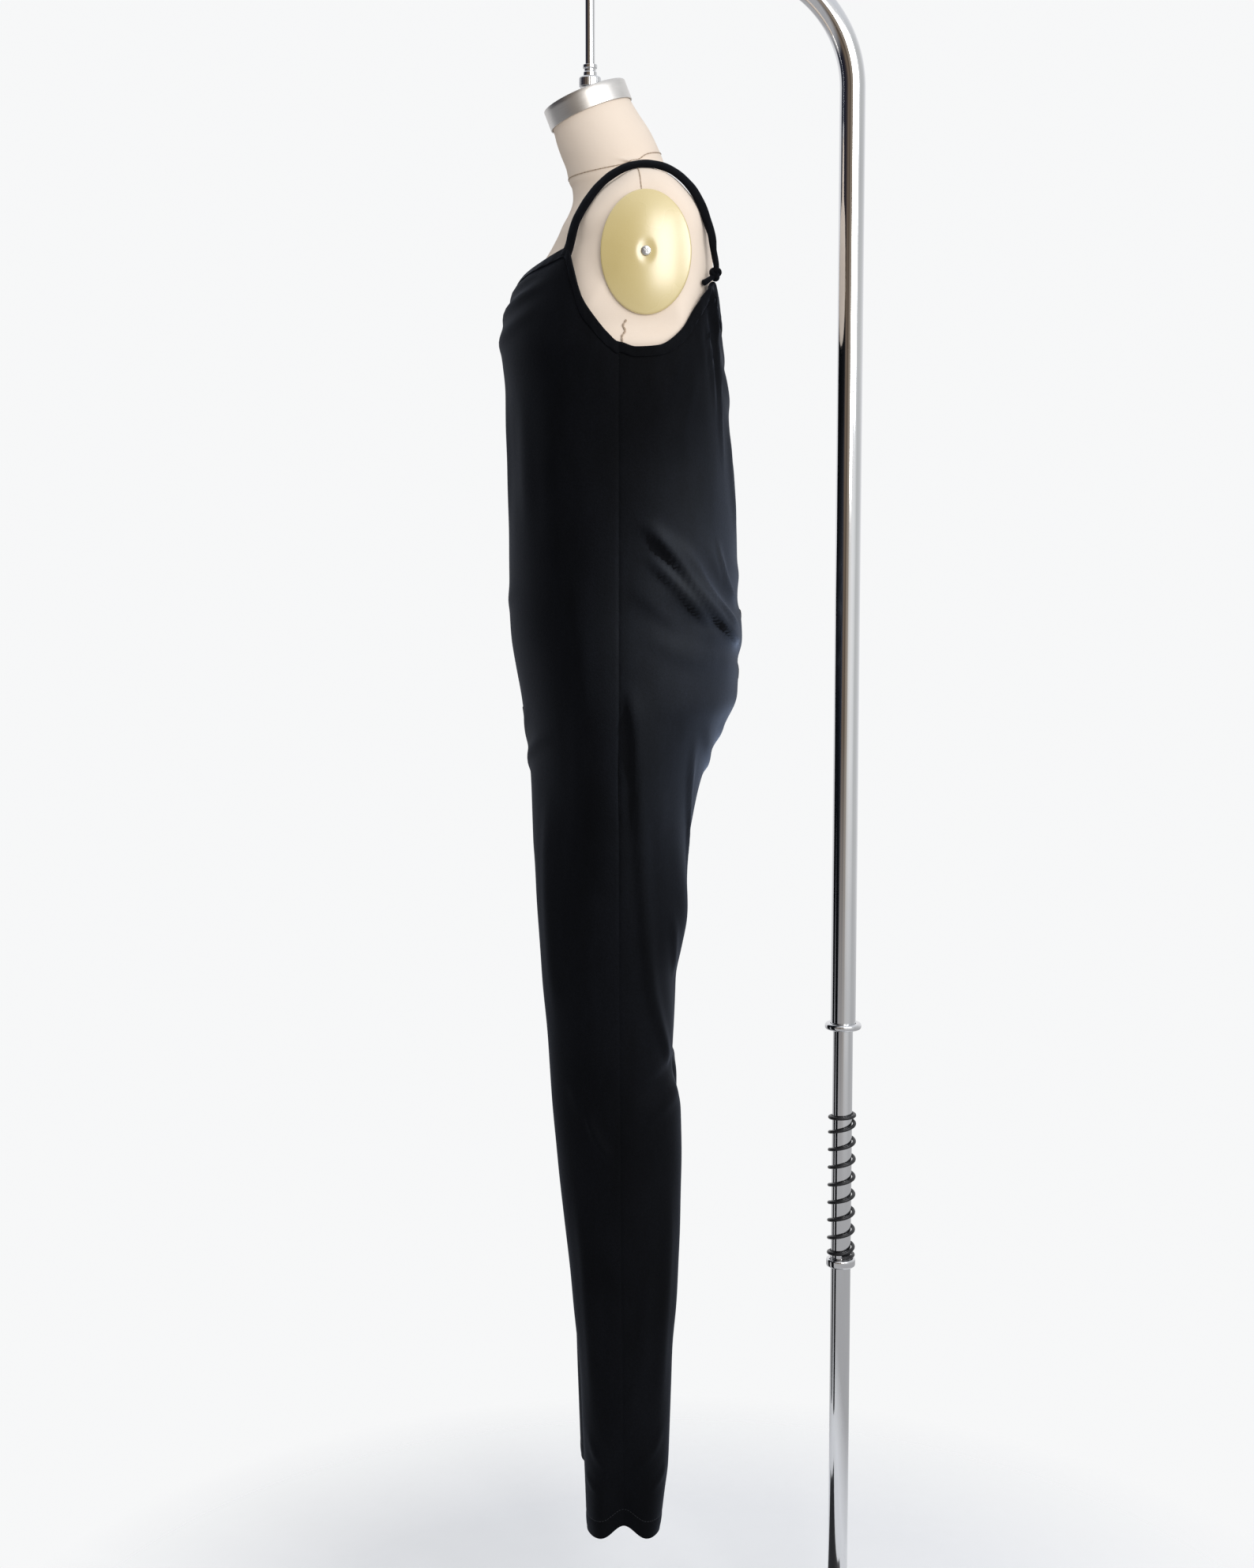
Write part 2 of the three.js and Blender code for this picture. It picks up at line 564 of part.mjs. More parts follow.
// Oval plate that closes each arm opening, domed and slightly leaning with the form's side.
const PLATE = { y: -34, z: 1608, halfDepth: 47, halfHeight: 64, rim: 3, dome: 11 };
const onPlate = (out, y, z) => [plateFlat(PLATE.z + z) + 0.3 + out, PLATE.y + y, PLATE.z + z];
addPair('arm_plate', () => {
  const steps = [[1, 0], [1, PLATE.rim], [0.9, 6.4], [0.7, 9], [0.4, 10.5], [0.12, PLATE.dome]];
  const loops = steps.map(([share, out]) => circle(share, 32, (a, b) =>
    onPlate(out, a * PLATE.halfDepth, b * PLATE.halfHeight)));
  return loft(loops);
}, cream);
addPair('plate_screw', () => {
  const loops = [[5, 11.3], [5, 12.2], [3.4, 13.2]].map(([r, out]) => circle(r, 12, (a, b) => onPlate(out, a, b)));
  return loft(loops);
}, steel);

// Brushed cup pushed over the top of the neck, square to the neck's tilt.
const CAP = { y: -95.8, z: 1781.9, radius: 47, bore: 45.5, half: 11, lid: 2.5, tilt: (21.5 * Math.PI) / 180 };
{
  const steps = [[CAP.bore, CAP.half - CAP.lid], [CAP.bore, -CAP.half], [CAP.radius, -CAP.half],
    [CAP.radius, CAP.half - 1], [CAP.radius - 1, CAP.half]];
  const loops = steps.map(([r, up]) => circle(r, 48, (a, b) => [
    a,
    CAP.y + b * Math.cos(CAP.tilt) - up * Math.sin(CAP.tilt),
    CAP.z + b * Math.sin(CAP.tilt) + up * Math.cos(CAP.tilt),
  ]));
  addSolid('neck_cap', loft(loops), steel);
}

// ---------------------------------------------------------------- stand
addSolid('hanger_rod', turned([[ROD_R, 1797.6], [ROD_R, 1919.2]], ROD_Y, 16), chrome);
addSolid('swivel_nut', ringPiece([[5.6, 1800.5], [10, 1800.5], [12, 1802], [12, 1811], [10.5, 1812.5],
  [5.6, 1812.5]], ROD_Y, 16), chrome);
addSolid('lock_nut', ringPiece([[5.6, 1813], [7.6, 1813], [7.6, 1817], [6.6, 1818], [6.6, 1820.5], [8, 1821.5],
  [8, 1825], [5.6, 1825]], ROD_Y, 16), chrome);
addSolid('arm_nut', ringPiece(sleeve(5.6, 11, 1906, 1919), ROD_Y, 16), chrome);

// Bent outer tube: upright, quarter bend, level arm.
{
  const stations = [[POLE_Y, TUBE_FOOT, 0], [POLE_Y, BEND_Z, 0]];
  const steps = 8;
  for (let k = 1; k <= steps; k += 1) {
    const a = (Math.PI / 2) * (k / steps);
    stations.push([POLE_Y - BEND_R * (1 - Math.cos(a)), BEND_Z + BEND_R * Math.sin(a), a]);
  }
  stations.push([ARM_END_Y, BEND_Z + BEND_R, Math.PI / 2]);
  const ring = (radius) => stations.map(([y, z, a]) => circle(radius, 24, (p, q) =>
    [p, y + q * Math.cos(a), z + q * Math.sin(a)]));
  addSolid('outer_tube', closedRound([...ring(TUBE_R), ...ring(TUBE_BORE).reverse()]), chrome);
}
addSolid('tube_collar', ringPiece([[14.4, 765], [19, 765], [20.5, 766.5], [20.5, 770.5], [19, 772],
  [14.4, 772]], POLE_Y, 32), chrome);
{
  const arm = BEND_Z + BEND_R;
  const loops = [[14, 0.3], [14, 3], [11, 6], [4, 7.5]].map(([r, out]) =>
    circle(r, 24, (a, b) => [a, ARM_END_Y - out, arm + b]));
  addSolid('arm_end_cap', loft(loops), chrome);
}

addSolid('inner_pole', ringPiece(sleeve(POLE_BORE, POLE_R, BASE.thick + 0.3, POLE_TOP), POLE_Y, 24), chrome);
addSolid('stop_ring', ringPiece([[11.6, 489], [15, 489], [16.5, 490.5], [16.5, 497.5], [15, 499], [11.6, 499]],
  POLE_Y, 24), chrome);

// Black compression spring with its end turns closed up.
{
  const perTurn = 14;
  const total = Math.round(SPRING.turns * perTurn);
  const pitch = curve([[0, SPRING.foot], [1, SPRING.foot + 5], [SPRING.turns - 1, SPRING.top - 7],
    [SPRING.turns, SPRING.top - 2]]);
  const loops = Array.from({ length: total + 1 }, (_, i) => {
    const turn = i / perTurn;
    const a = 2 * Math.PI * turn;
    const z = turn < 1 || turn > SPRING.turns - 1 ? pitch(turn)[0]
      : lerp(SPRING.foot + 5, SPRING.top - 7, (turn - 1) / (SPRING.turns - 2));
    return circle(SPRING.wire, 6, (p, q) =>
      [(SPRING.coil + p) * Math.cos(a), POLE_Y + (SPRING.coil + p) * Math.sin(a), z + q]);
  });
  addSolid('spring', loft(loops), iron);
}

// Plain base plate and the socket that holds the pole.
{
  const corner = (grow, z) => {
    const points = [];
    const [hx, hy] = [BASE.width / 2 - BASE.corner, BASE.depth / 2 - BASE.corner];
    for (let k = 0; k < 4; k += 1) {
      for (let i = 0; i <= 6; i += 1) {
        const a = (Math.PI / 2) * (k + i / 6);
        const [sx, sy] = [[1, 1], [-1, 1], [-1, -1], [1, -1]][k];
        const r = BASE.corner + grow;
        points.push([sx * hx + r * Math.cos(a), sy * hy + r * Math.sin(a), z]);
      }
    }
    return points;
  };
  const t = BASE.thick;
  addSolid('base_plate', loft([corner(-1, 0), corner(0, 1), corner(0, t - 1.5), corner(-1.5, t)]), iron);
}
addSolid('pole_socket', ringPiece([[11.6, BASE.thick + 0.3], [27, BASE.thick + 0.3], [27, 14], [17, 22],
  [16.5, 55], [15, 57], [11.6, 57]], POLE_Y, 32), chrome);

export default group;
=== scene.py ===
"""Velvet jumpsuit on a limbless dress form and stand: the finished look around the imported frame.

Lengths in the shape functions are in millimetres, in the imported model's frame: the garment faces
-Y and the wearer's left side is +X. Meshes are made in metres.
"""

import math

import bpy
import numpy as np
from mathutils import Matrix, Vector


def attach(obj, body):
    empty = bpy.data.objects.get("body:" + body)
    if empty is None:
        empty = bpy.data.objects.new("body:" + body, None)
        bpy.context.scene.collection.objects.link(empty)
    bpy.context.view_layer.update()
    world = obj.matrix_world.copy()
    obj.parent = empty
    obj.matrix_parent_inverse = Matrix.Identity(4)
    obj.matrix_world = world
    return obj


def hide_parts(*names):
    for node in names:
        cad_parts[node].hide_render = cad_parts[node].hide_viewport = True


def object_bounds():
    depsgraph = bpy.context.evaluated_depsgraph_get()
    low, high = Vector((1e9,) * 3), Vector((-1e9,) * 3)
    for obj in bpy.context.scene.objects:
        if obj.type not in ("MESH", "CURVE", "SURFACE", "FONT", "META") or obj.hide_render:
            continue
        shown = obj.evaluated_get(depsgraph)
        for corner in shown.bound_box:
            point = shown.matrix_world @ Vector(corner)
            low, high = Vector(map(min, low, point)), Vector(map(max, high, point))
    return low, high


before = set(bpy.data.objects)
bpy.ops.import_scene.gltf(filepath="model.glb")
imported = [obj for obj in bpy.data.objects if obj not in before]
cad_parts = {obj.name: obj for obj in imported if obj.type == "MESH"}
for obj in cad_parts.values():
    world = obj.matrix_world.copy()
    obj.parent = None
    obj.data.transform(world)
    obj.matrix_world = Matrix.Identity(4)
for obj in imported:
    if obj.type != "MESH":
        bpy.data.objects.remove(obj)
cad_low, cad_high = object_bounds()

# ---------------------------------------------------------------- garment sizes
WALL = 1.8
HALF_GAP = 0.15
BAND_WIDTH = 8
HEM_Z = 219
HEM_NOTCH = 12
HEM_DENT = 19
HEM_TURN = 20
CROTCH_Z = 985
FRONT_RISE = 130
BACK_RISE = 150
RIGHT_SWING = 10
RIGHT_LIFT = 12
YOKE_Z = 1480


def smooth(t):
    c = np.clip(t, 0.0, 1.0)
    return c * c * (3 - 2 * c)


def bell(t):
    return np.exp(-np.square(t))


def mix(a, b, t):
    return a + (b - a) * t


def curve(rows):
    """Smooth curve through rows of [position, value, value, ...], without overshoot."""
    rows = np.array(rows, float)
    x, values = rows[:, 0], rows[:, 1:]
    step = np.diff(values, axis=0) / np.diff(x)[:, None]
    a, b = step[:-1], step[1:]
    slopes = np.zeros_like(values)
    slopes[1:-1] = np.where(a * b > 0, 2 * a * b / np.where(a + b == 0, 1, a + b), 0)

    def at(position):
        p = np.asarray(position, float)
        i = np.clip(np.searchsorted(x, p, side="left") - 1, 0, len(x) - 2)
        h = (x[i + 1] - x[i])[..., None]
        t = np.clip((p - x[i])[..., None] / h, 0, 1)
        value = mix(values[i], values[i + 1], t * t * (3 - 2 * t))
        value += (t**3 - 2 * t * t + t) * h * slopes[i] + (t**3 - t * t) * h * slopes[i + 1]
        return np.moveaxis(value, -1, 0)

    return at


def softened(rows, reach):
    """The same curve with its small kinks rounded off over reach millimetres."""
    plain = curve(rows)
    x = np.arange(rows[0][0], rows[-1][0] + 1.0)
    spread = np.arange(-3 * reach, 3 * reach + 1)
    weight = np.exp(-0.5 * (spread / reach) ** 2)
    padded = np.pad(plain(x), ((0, 0), (3 * reach, 3 * reach)), mode="edge")
    values = np.array([np.convolve(v, weight / weight.sum(), mode="valid") for v in padded])
    return lambda z: np.array([np.interp(z, x, v) for v in values])


def oval(depth, width, fullness, angle):
    s, c = np.sin(angle), np.cos(angle)
    total = (np.abs(s) / width) ** fullness + (np.abs(c) / depth) ** fullness
    r = total ** (-1 / fullness)
    return r * s, r * c


# height, front, back, half width, front fullness, back fullness
bodice = softened([
    [940, -153.5, 11, 164, 2.15, 2.15],
    [985, -157.5, 14.5, 166, 2.15, 2.15],
    [1011, -159, 20, 168.5, 2.15, 2.15],
    [1046, -161, 29, 171, 2.15, 2.15],
    [1080, -163.5, 40.5, 173.5, 2.15, 2.2],
    [1114, -166.5, 56, 175.5, 2.2, 2.2],
    [1143, -170.5, 66.5, 176.5, 2.2, 2.25],
    [1178, -176.5, 66.5, 175, 2.2, 2.3],
    [1213, -181.5, 71, 171.5, 2.25, 2.3],
    [1240, -183, 68.5, 168, 2.25, 2.4],
    [1317, -183, 67, 163, 2.3, 2.4],
    [1387, -183.5, 63, 163, 2.3, 2.4],
    [1437, -184.5, 58, 166, 2.3, 2.5],
    [1473, -185.5, 55, 169, 2.35, 2.6],
    [1508, -189.5, 50.5, 170, 2.35, 2.8],
    [1524, -191, 47.5, 165.5, 2.35, 3.0],
    [1541, -189, 47.5, 160.5, 2.35, 3.1],
    [1575, -177.5, 48, 152.5, 2.35, 3.5],
    [1592, -167.5, 47.5, 150, 2.35, 3.6],
    [1609, -152, 46, 148, 2.35, 3.6],
    [1630, -133, 43, 146, 2.35, 3.6],
], 5)
# height, front, back, middle across, half width
leg = softened([
    [190, -95.5, -21, 85, 45],
    [228, -98.6, -15.5, 85, 45.5],
    [265, -100, -11, 85, 46.5],
    [292, -101, -7.7, 85, 47.5],
    [338, -103, -6, 85, 49],
    [384, -105, -4.4, 84.5, 50],
    [429, -108, -2.7, 84.5, 51.5],
    [474, -113, 0.7, 84, 53],
    [519, -117, 3.2, 84, 54.5],
    [564, -122, 4.9, 84, 56],
    [608, -126.5, 5.6, 84, 57.5],
    [653, -131, 6.4, 84, 59],
    [697, -135, 5.4, 84, 61],
    [741, -138, -4.2, 84, 64],
    [785, -140.6, -3.5, 83.5, 67],
    [838, -145.6, -3.6, 83, 71],
    [873, -148, 2, 83, 73.5],
    [916, -151, 9.5, 83, 77],
    [977, -155.5, 12.5, 83, 81.7],
    [985, -156.5, 14, 83, 82.85],
    [1140, -160, 30, 83, 82.85],
], 5)
# height, side seam, inseam
seams = curve([[210, -57, -57], [600, -60, -60], [985, -62, -66], [1630, -62, -66]])
# angle round the bodice from its middle, edge height
front_neck = curve([[0, 1590], [22, 1593], [45, 1601], [58, 1608], [67, 1613]])
front_arm = curve([[67, 1613], [71, 1592], [75.8, 1559], [81, 1539], [86.5, 1521], [90, 1513]])
back_arm = curve([[47.7, 1580], [51.3, 1575], [57.8, 1558], [66.7, 1527], [76.5, 1509.5], [84.3, 1508], [90,
    1513]])
back_neck = curve([[0, 1535], [9, 1535.5], [22, 1540], [36, 1553], [43, 1568], [47.7, 1580]])


def bodice_angle(u):
    return np.arcsin(np.sin(math.pi * np.asarray(u) / 2) ** 2)


def edge_height(sign, u):
    degrees = np.degrees(bodice_angle(u))
    if sign < 0:
        return np.where(u <= PEAK[sign], front_neck(degrees)[0], front_arm(degrees)[0])
    return np.where(u <= PEAK[sign], back_neck(degrees)[0], back_arm(degrees)[0])


PEAK = {-1: 0.8175, 1: 0.659}


def big_fold(sign, u, z):
    """The largest folds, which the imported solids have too."""
    if sign < 0:
        return np.zeros_like(z)
    drag = mix(1262, 1200, smooth((1 - u) / 0.8))
    blouse = 3.5 * bell((z - drag) / 17) * smooth(u / 0.25) * smooth((1 - u) / 0.2)
    line = mix(0.95, 0.3, smooth((1150 - z) / 440))
    return blouse + 4 * bell((u - line) / 0.1) * smooth((1120 - z) / 120) * smooth((z - 600) / 130)


def skin(sign, u, z, side):
    """Outer surface of the left half of the garment (sign -1 front, 1 back), in millimetres."""
    front, back, width, front_full, back_full = bodice(z)
    side_seam, inseam = seams(z)
    depth = np.abs((front if sign < 0 else back) - side_seam)
    bx, by = oval(depth, width, front_full if sign < 0 else back_full, bodice_angle(u))
    x, y = bx + HALF_GAP, side_seam + sign * by
    up = np.clip((z - CROTCH_Z) / (FRONT_RISE if sign < 0 else BACK_RISE), 0, 1)
    at_middle = 1 - np.sqrt(1 - (1 - up) ** 2)
    at_side = 1 - smooth((z - CROTCH_Z + 100) / 250)
    share = mix(at_middle, at_side, smooth(u / 0.45))
    leg_front, leg_back, middle, half = leg(z)
    seam = mix(inseam, side_seam, u)
    lx, ly = oval(np.abs((leg_front if sign < 0 else leg_back) - seam), half, 2.1, math.pi * (u - 0.5))
    x = mix(x, middle + lx, share)
    y = mix(y, seam + sign * ly, share)
    x = x - HEM_DENT * bell((1 - u) / 0.14) * smooth((370 - z) / 150)
    swing = smooth((820 - z) / 560) if side < 0 else 0 * z
    out = big_fold(sign, u, z)
    angle = np.where(share > 0.5, math.pi * (u - 0.5), bodice_angle(u))
    x = x + out * np.sin(angle)
    y = y + sign * (HALF_GAP + out * np.cos(angle)) - RIGHT_SWING * swing
    return np.stack([x, y, z + RIGHT_LIFT * swing], axis=-1)


def columns(peak):
    """Columns of a panel from its centre seam and inseam (0) to its side seam (1)."""
    ends = np.array([0, 0.003, 0.006, 0.01, 0.015, 0.022, 0.03])
    near_peak = np.array([-0.012, -0.005, 0, 0.005, 0.012]) + peak
    return np.unique(np.round(np.concatenate([ends, 1 - ends, near_peak, np.linspace(0.042, 0.958, 66)]), 5))


def hem_height(u):
    return HEM_Z + HEM_NOTCH * bell((1 - u) / 0.11)


def band_foot(sign, side, u):
    a, b = np.maximum(0, u - 0.02), np.minimum(1, u + 0.02)
    pa = skin(sign, a, edge_height(sign, a), side)
    pb = skin(sign, b, edge_height(sign, b), side)
    run = np.hypot(pb[..., 0] - pa[..., 0], pb[..., 1] - pa[..., 1])
    stretch = np.minimum(1.8, np.hypot(1, (pb[..., 2] - pa[..., 2]) / run))
    return edge_height(sign, u) - BAND_WIDTH * stretch


def unit(v):
    return v / np.maximum(np.linalg.norm(v, axis=-1, keepdims=True), 1e-9)


def panel_grid(sign, side):
    """Points and height above the hem of a panel's outer surface, and its columns."""
    u = columns(PEAK[sign])
    foot, edge, hem = band_foot(sign, side, u), edge_height(sign, u), hem_height(u)
    rows = [mix(hem, 275, s) for s in np.linspace(0, 1, 26)[:-1]]
    rows += [np.full_like(u, z) for z in np.linspace(275, YOKE_Z, 372)[:-1]]
    rows += [mix(YOKE_Z, foot, s) for s in np.linspace(0, 1, 30)]
    rows += [mix(foot, edge, s) for s in (0.25, 0.5, 0.75, 1)]
    z = np.array(rows)
    uu = np.broadcast_to(u, z.shape)
    return skin(sign, uu, z, side), z, uu


def grid_normals(grid, z, sign):
    """Normals out of the garment. Along a seam they keep to the panel's own side."""
    n = unit(np.cross(np.gradient(grid, axis=1), np.gradient(grid, axis=0)) * -sign)
    low = z[:, 0] <= CROTCH_Z + 1
    for column, rows in ((-1, slice(None)), (0, low)):
        part = n[rows, column]
        part[:, 1] = np.where(sign * part[:, 1] > 0, 0, part[:, 1])
        n[rows, column] = part
    part = n[~low, 0]
    part[:, 0] = np.minimum(part[:, 0], 0)
    n[~low, 0] = part
    return unit(n)


# ---------------------------------------------------------------- folds
def smooth_line(points, count=48):
    """Catmull-Rom line through the points."""
    p = np.array(points, float)
    p = np.vstack([2 * p[0] - p[1], p, 2 * p[-1] - p[-2]])
    t = np.linspace(0, len(p) - 3 - 1e-9, count)
    i = t.astype(int)
    f = (t - i)[:, None]
    a, b, c, d = p[i], p[i + 1], p[i + 2], p[i + 3]
    return 0.5 * (2 * b + (c - a) * f + (2 * a - 5 * b + 4 * c - d) * f**2 + (3 * b - a - 3 * c + d) * f**3)


def stroke(across, z, points, height, before, after, start=0.2, end=0.2):
    """A soft ridge (or trough, with a negative height) along a line. before and after are its
    widths on the two sides of the line, and start and end the shares over which it fades."""
    line = smooth_line(points, 8 * len(points))
    reach = 3 * max(before, after)
    near = np.all([across > line[:, 0].min() - reach, across < line[:, 0].max() + reach,
                   z > line[:, 1].min() - reach, z < line[:, 1].max() + reach], axis=0)
    whole = np.zeros_like(z)
    across, z = across[near], z[near]
    best = np.full(z.shape, 1e9)
    value = np.zeros_like(z)
    for k in range(len(line) - 1):
        a, d = line[k], line[k + 1] - line[k]
        length = math.hypot(*d)
        t = np.clip(((across - a[0]) * d[0] + (z - a[1]) * d[1]) / length**2, 0, 1)
        ox, oz = across - a[0] - t * d[0], z - a[1] - t * d[1]
        distance = np.hypot(ox, oz)
        side = ox * d[1] - oz * d[0]
        share = (k + t) / (len(line) - 1)
        here = bell(distance / np.where(side > 0, after, before))
        here = here * smooth(share / start) * smooth((1 - share) / end)
        closer = distance < best
        best = np.where(closer, distance, best)
        value = np.where(closer, here, value)
    whole[near] = height * value
    return whole


# Folds beside the side seam: points of [distance round from the side seam (+ to the back), height],
# then the fold's height, its widths on each side, and the shares over which its ends fade.
LEFT_FOLDS = [
    # drag folds from the waist at the side seam down over the seat
    ([(20, 1338), (43, 1312), (61, 1291), (82, 1264), (112, 1236), (150, 1214), (190, 1203)], (8.0, 10, 5,
        0.2, 0.25)),
    ([(24, 1304), (43, 1283), (59, 1267), (75, 1251), (96, 1232), (112, 1219)], (6.0, 7.5, 4.5, 0.3, 0.35)),
    ([(52, 1322), (77, 1295), (101, 1264), (138, 1234), (176, 1214)], (5.2, 7, 4.5, 0.35, 0.3)),
    ([(88, 1330), (106, 1302), (124, 1278), (150, 1254), (186, 1236)], (2.2, 9, 6, 0.4, 0.3)),
    ([(119, 1322), (130, 1286), (150, 1262), (190, 1240)], (4.2, 6, 4.5, 0.35, 0.3)),
    ([(8, 1272), (30, 1250), (52, 1232), (70, 1218)], (1.5, 9, 7, 0.4, 0.4)),
    ([(14, 1232), (48, 1204), (88, 1188), (130, 1184)], (1.4, 14, 10, 0.4, 0.4)),
    # long fold down the thigh to the back of the knee
    ([(9, 1172), (18, 1088), (24, 965), (33, 848), (54, 780), (76, 745)], (4.6, 11, 5, 0.12, 0.2)),
    ([(20, 1180), (34, 1095), (46, 975), (58, 868)], (1.7, 12, 10, 0.3, 0.4)),
    ([(92, 1116), (103, 1048), (112, 990), (114, 940)], (3.4, 8, 4.5, 0.3, 0.4)),
    ([(60, 935), (78, 872), (93, 838)], (2.2, 8, 6, 0.35, 0.4)),
    # soft breaks at the knee
    ([(98, 752), (66, 744), (30, 729), (6, 722)], (-2.2, 9, 9, 0.25, 0.5)),
    ([(104, 722), (72, 716), (42, 703), (16, 690)], (2.6, 9, 11, 0.25, 0.5)),
    ([(-38, 712), (-31, 686), (-18, 662), (-6, 652)], (2.8, 5.5, 4.5, 0.3, 0.35)),
    ([(-62, 742), (-48, 716), (-42, 690)], (1.6, 9, 7, 0.4, 0.4)),
    # gathers that fall from the knot
    ([(106, 1577), (120, 1556), (131, 1528), (138, 1484), (141, 1420), (142, 1370)], (4.2, 5.5, 4.5, 0.08,
        0.45)),
    ([(101, 1573), (107, 1548), (112, 1520), (121, 1480), (128, 1430)], (3.0, 4.5, 4, 0.1, 0.45)),
    ([(113, 1572), (126, 1545), (146, 1512), (160, 1470)], (2.6, 5, 4.5, 0.1, 0.5)),
    ([(95, 1564), (96, 1540), (99, 1508), (103, 1470)], (1.9, 4.5, 4, 0.15, 0.5)),
    ([(104, 1570), (113, 1540), (124, 1500), (134, 1450)], (-2.0, 4, 4, 0.12, 0.45)),
    # fine diagonals under the arm
    ([(74, 1514), (58, 1484), (42, 1448), (26, 1412)], (2.6, 4.5, 3, 0.3, 0.45)),
    ([(44, 1492), (30, 1468), (18, 1444)], (1.5, 4.5, 3.5, 0.4, 0.45)),
    ([(88, 1506), (78, 1462), (62, 1410), (52, 1366)], (1.4, 8, 6, 0.3, 0.5)),
    # slow falls of the front
    ([(-64, 1500), (-74, 1410), (-70, 1310), (-60, 1220)], (1.6, 15, 18, 0.4, 0.4)),
    ([(-128, 1490), (-120, 1400), (-112, 1290)], (1.8, 18, 16, 0.4, 0.4)),
    ([(-34, 1250), (-40, 1150), (-44, 1040), (-40, 930)], (1.6, 14, 12, 0.4, 0.4)),
    ([(-96, 1060), (-92, 960), (-82, 850), (-70, 770)], (1.9, 14, 10, 0.3, 0.4)),
    ([(-52, 640), (-44, 540), (-38, 430), (-36, 330)], (2.2, 11, 9, 0.3, 0.35)),
    ([(58, 640), (56, 540), (48, 430), (40, 320)], (2.4, 10, 12, 0.3, 0.35)),
    ([(30, 560), (24, 470), (20, 380)], (1.5, 8, 8, 0.4, 0.4)),
    # small breaks over the hem
    ([(52, 352), (36, 326), (18, 306), (9, 290)], (2.0, 7, 5, 0.35, 0.4)),
    ([(-50, 344), (-34, 318), (-18, 300), (-9, 288)], (1.8, 6, 6, 0.35, 0.4)),
    ([(60, 300), (44, 286), (26, 272)], (1.5, 6, 5, 0.4, 0.4)),
    ([(-58, 292), (-42, 280), (-26, 268)], (1.4, 5, 5, 0.4, 0.4)),
    # the inner leg, which the side view hides
    ([(-150, 900), (-148, 800), (-140, 700), (-128, 600)], (2.0, 10, 10, 0.35, 0.4)),
    ([(140, 880), (134, 790), (126, 700), (118, 620)], (2.0, 10, 9, 0.35, 0.4)),
]


def other_side(folds):
    """The same folds a little differently placed, for the wearer's right side."""
    moved = []
    for k, (line, (height, before, after, start, end)) in enumerate(folds):
        ds, dz = 3.5 * math.sin(2.1 * k + 0.6), 9 * math.sin(1.3 * k + 0.4)
        grown = 0.92 + 0.16 * math.sin(1.7 * k)
        moved.append(([(a + ds, b + (dz if 330 < b < 1500 else 0.2 * dz)) for a, b in line],
                      (height * grown, before, after, start, end)))
    return moved


SIDE_FOLDS = {1: LEFT_FOLDS, -1: other_side(LEFT_FOLDS)}
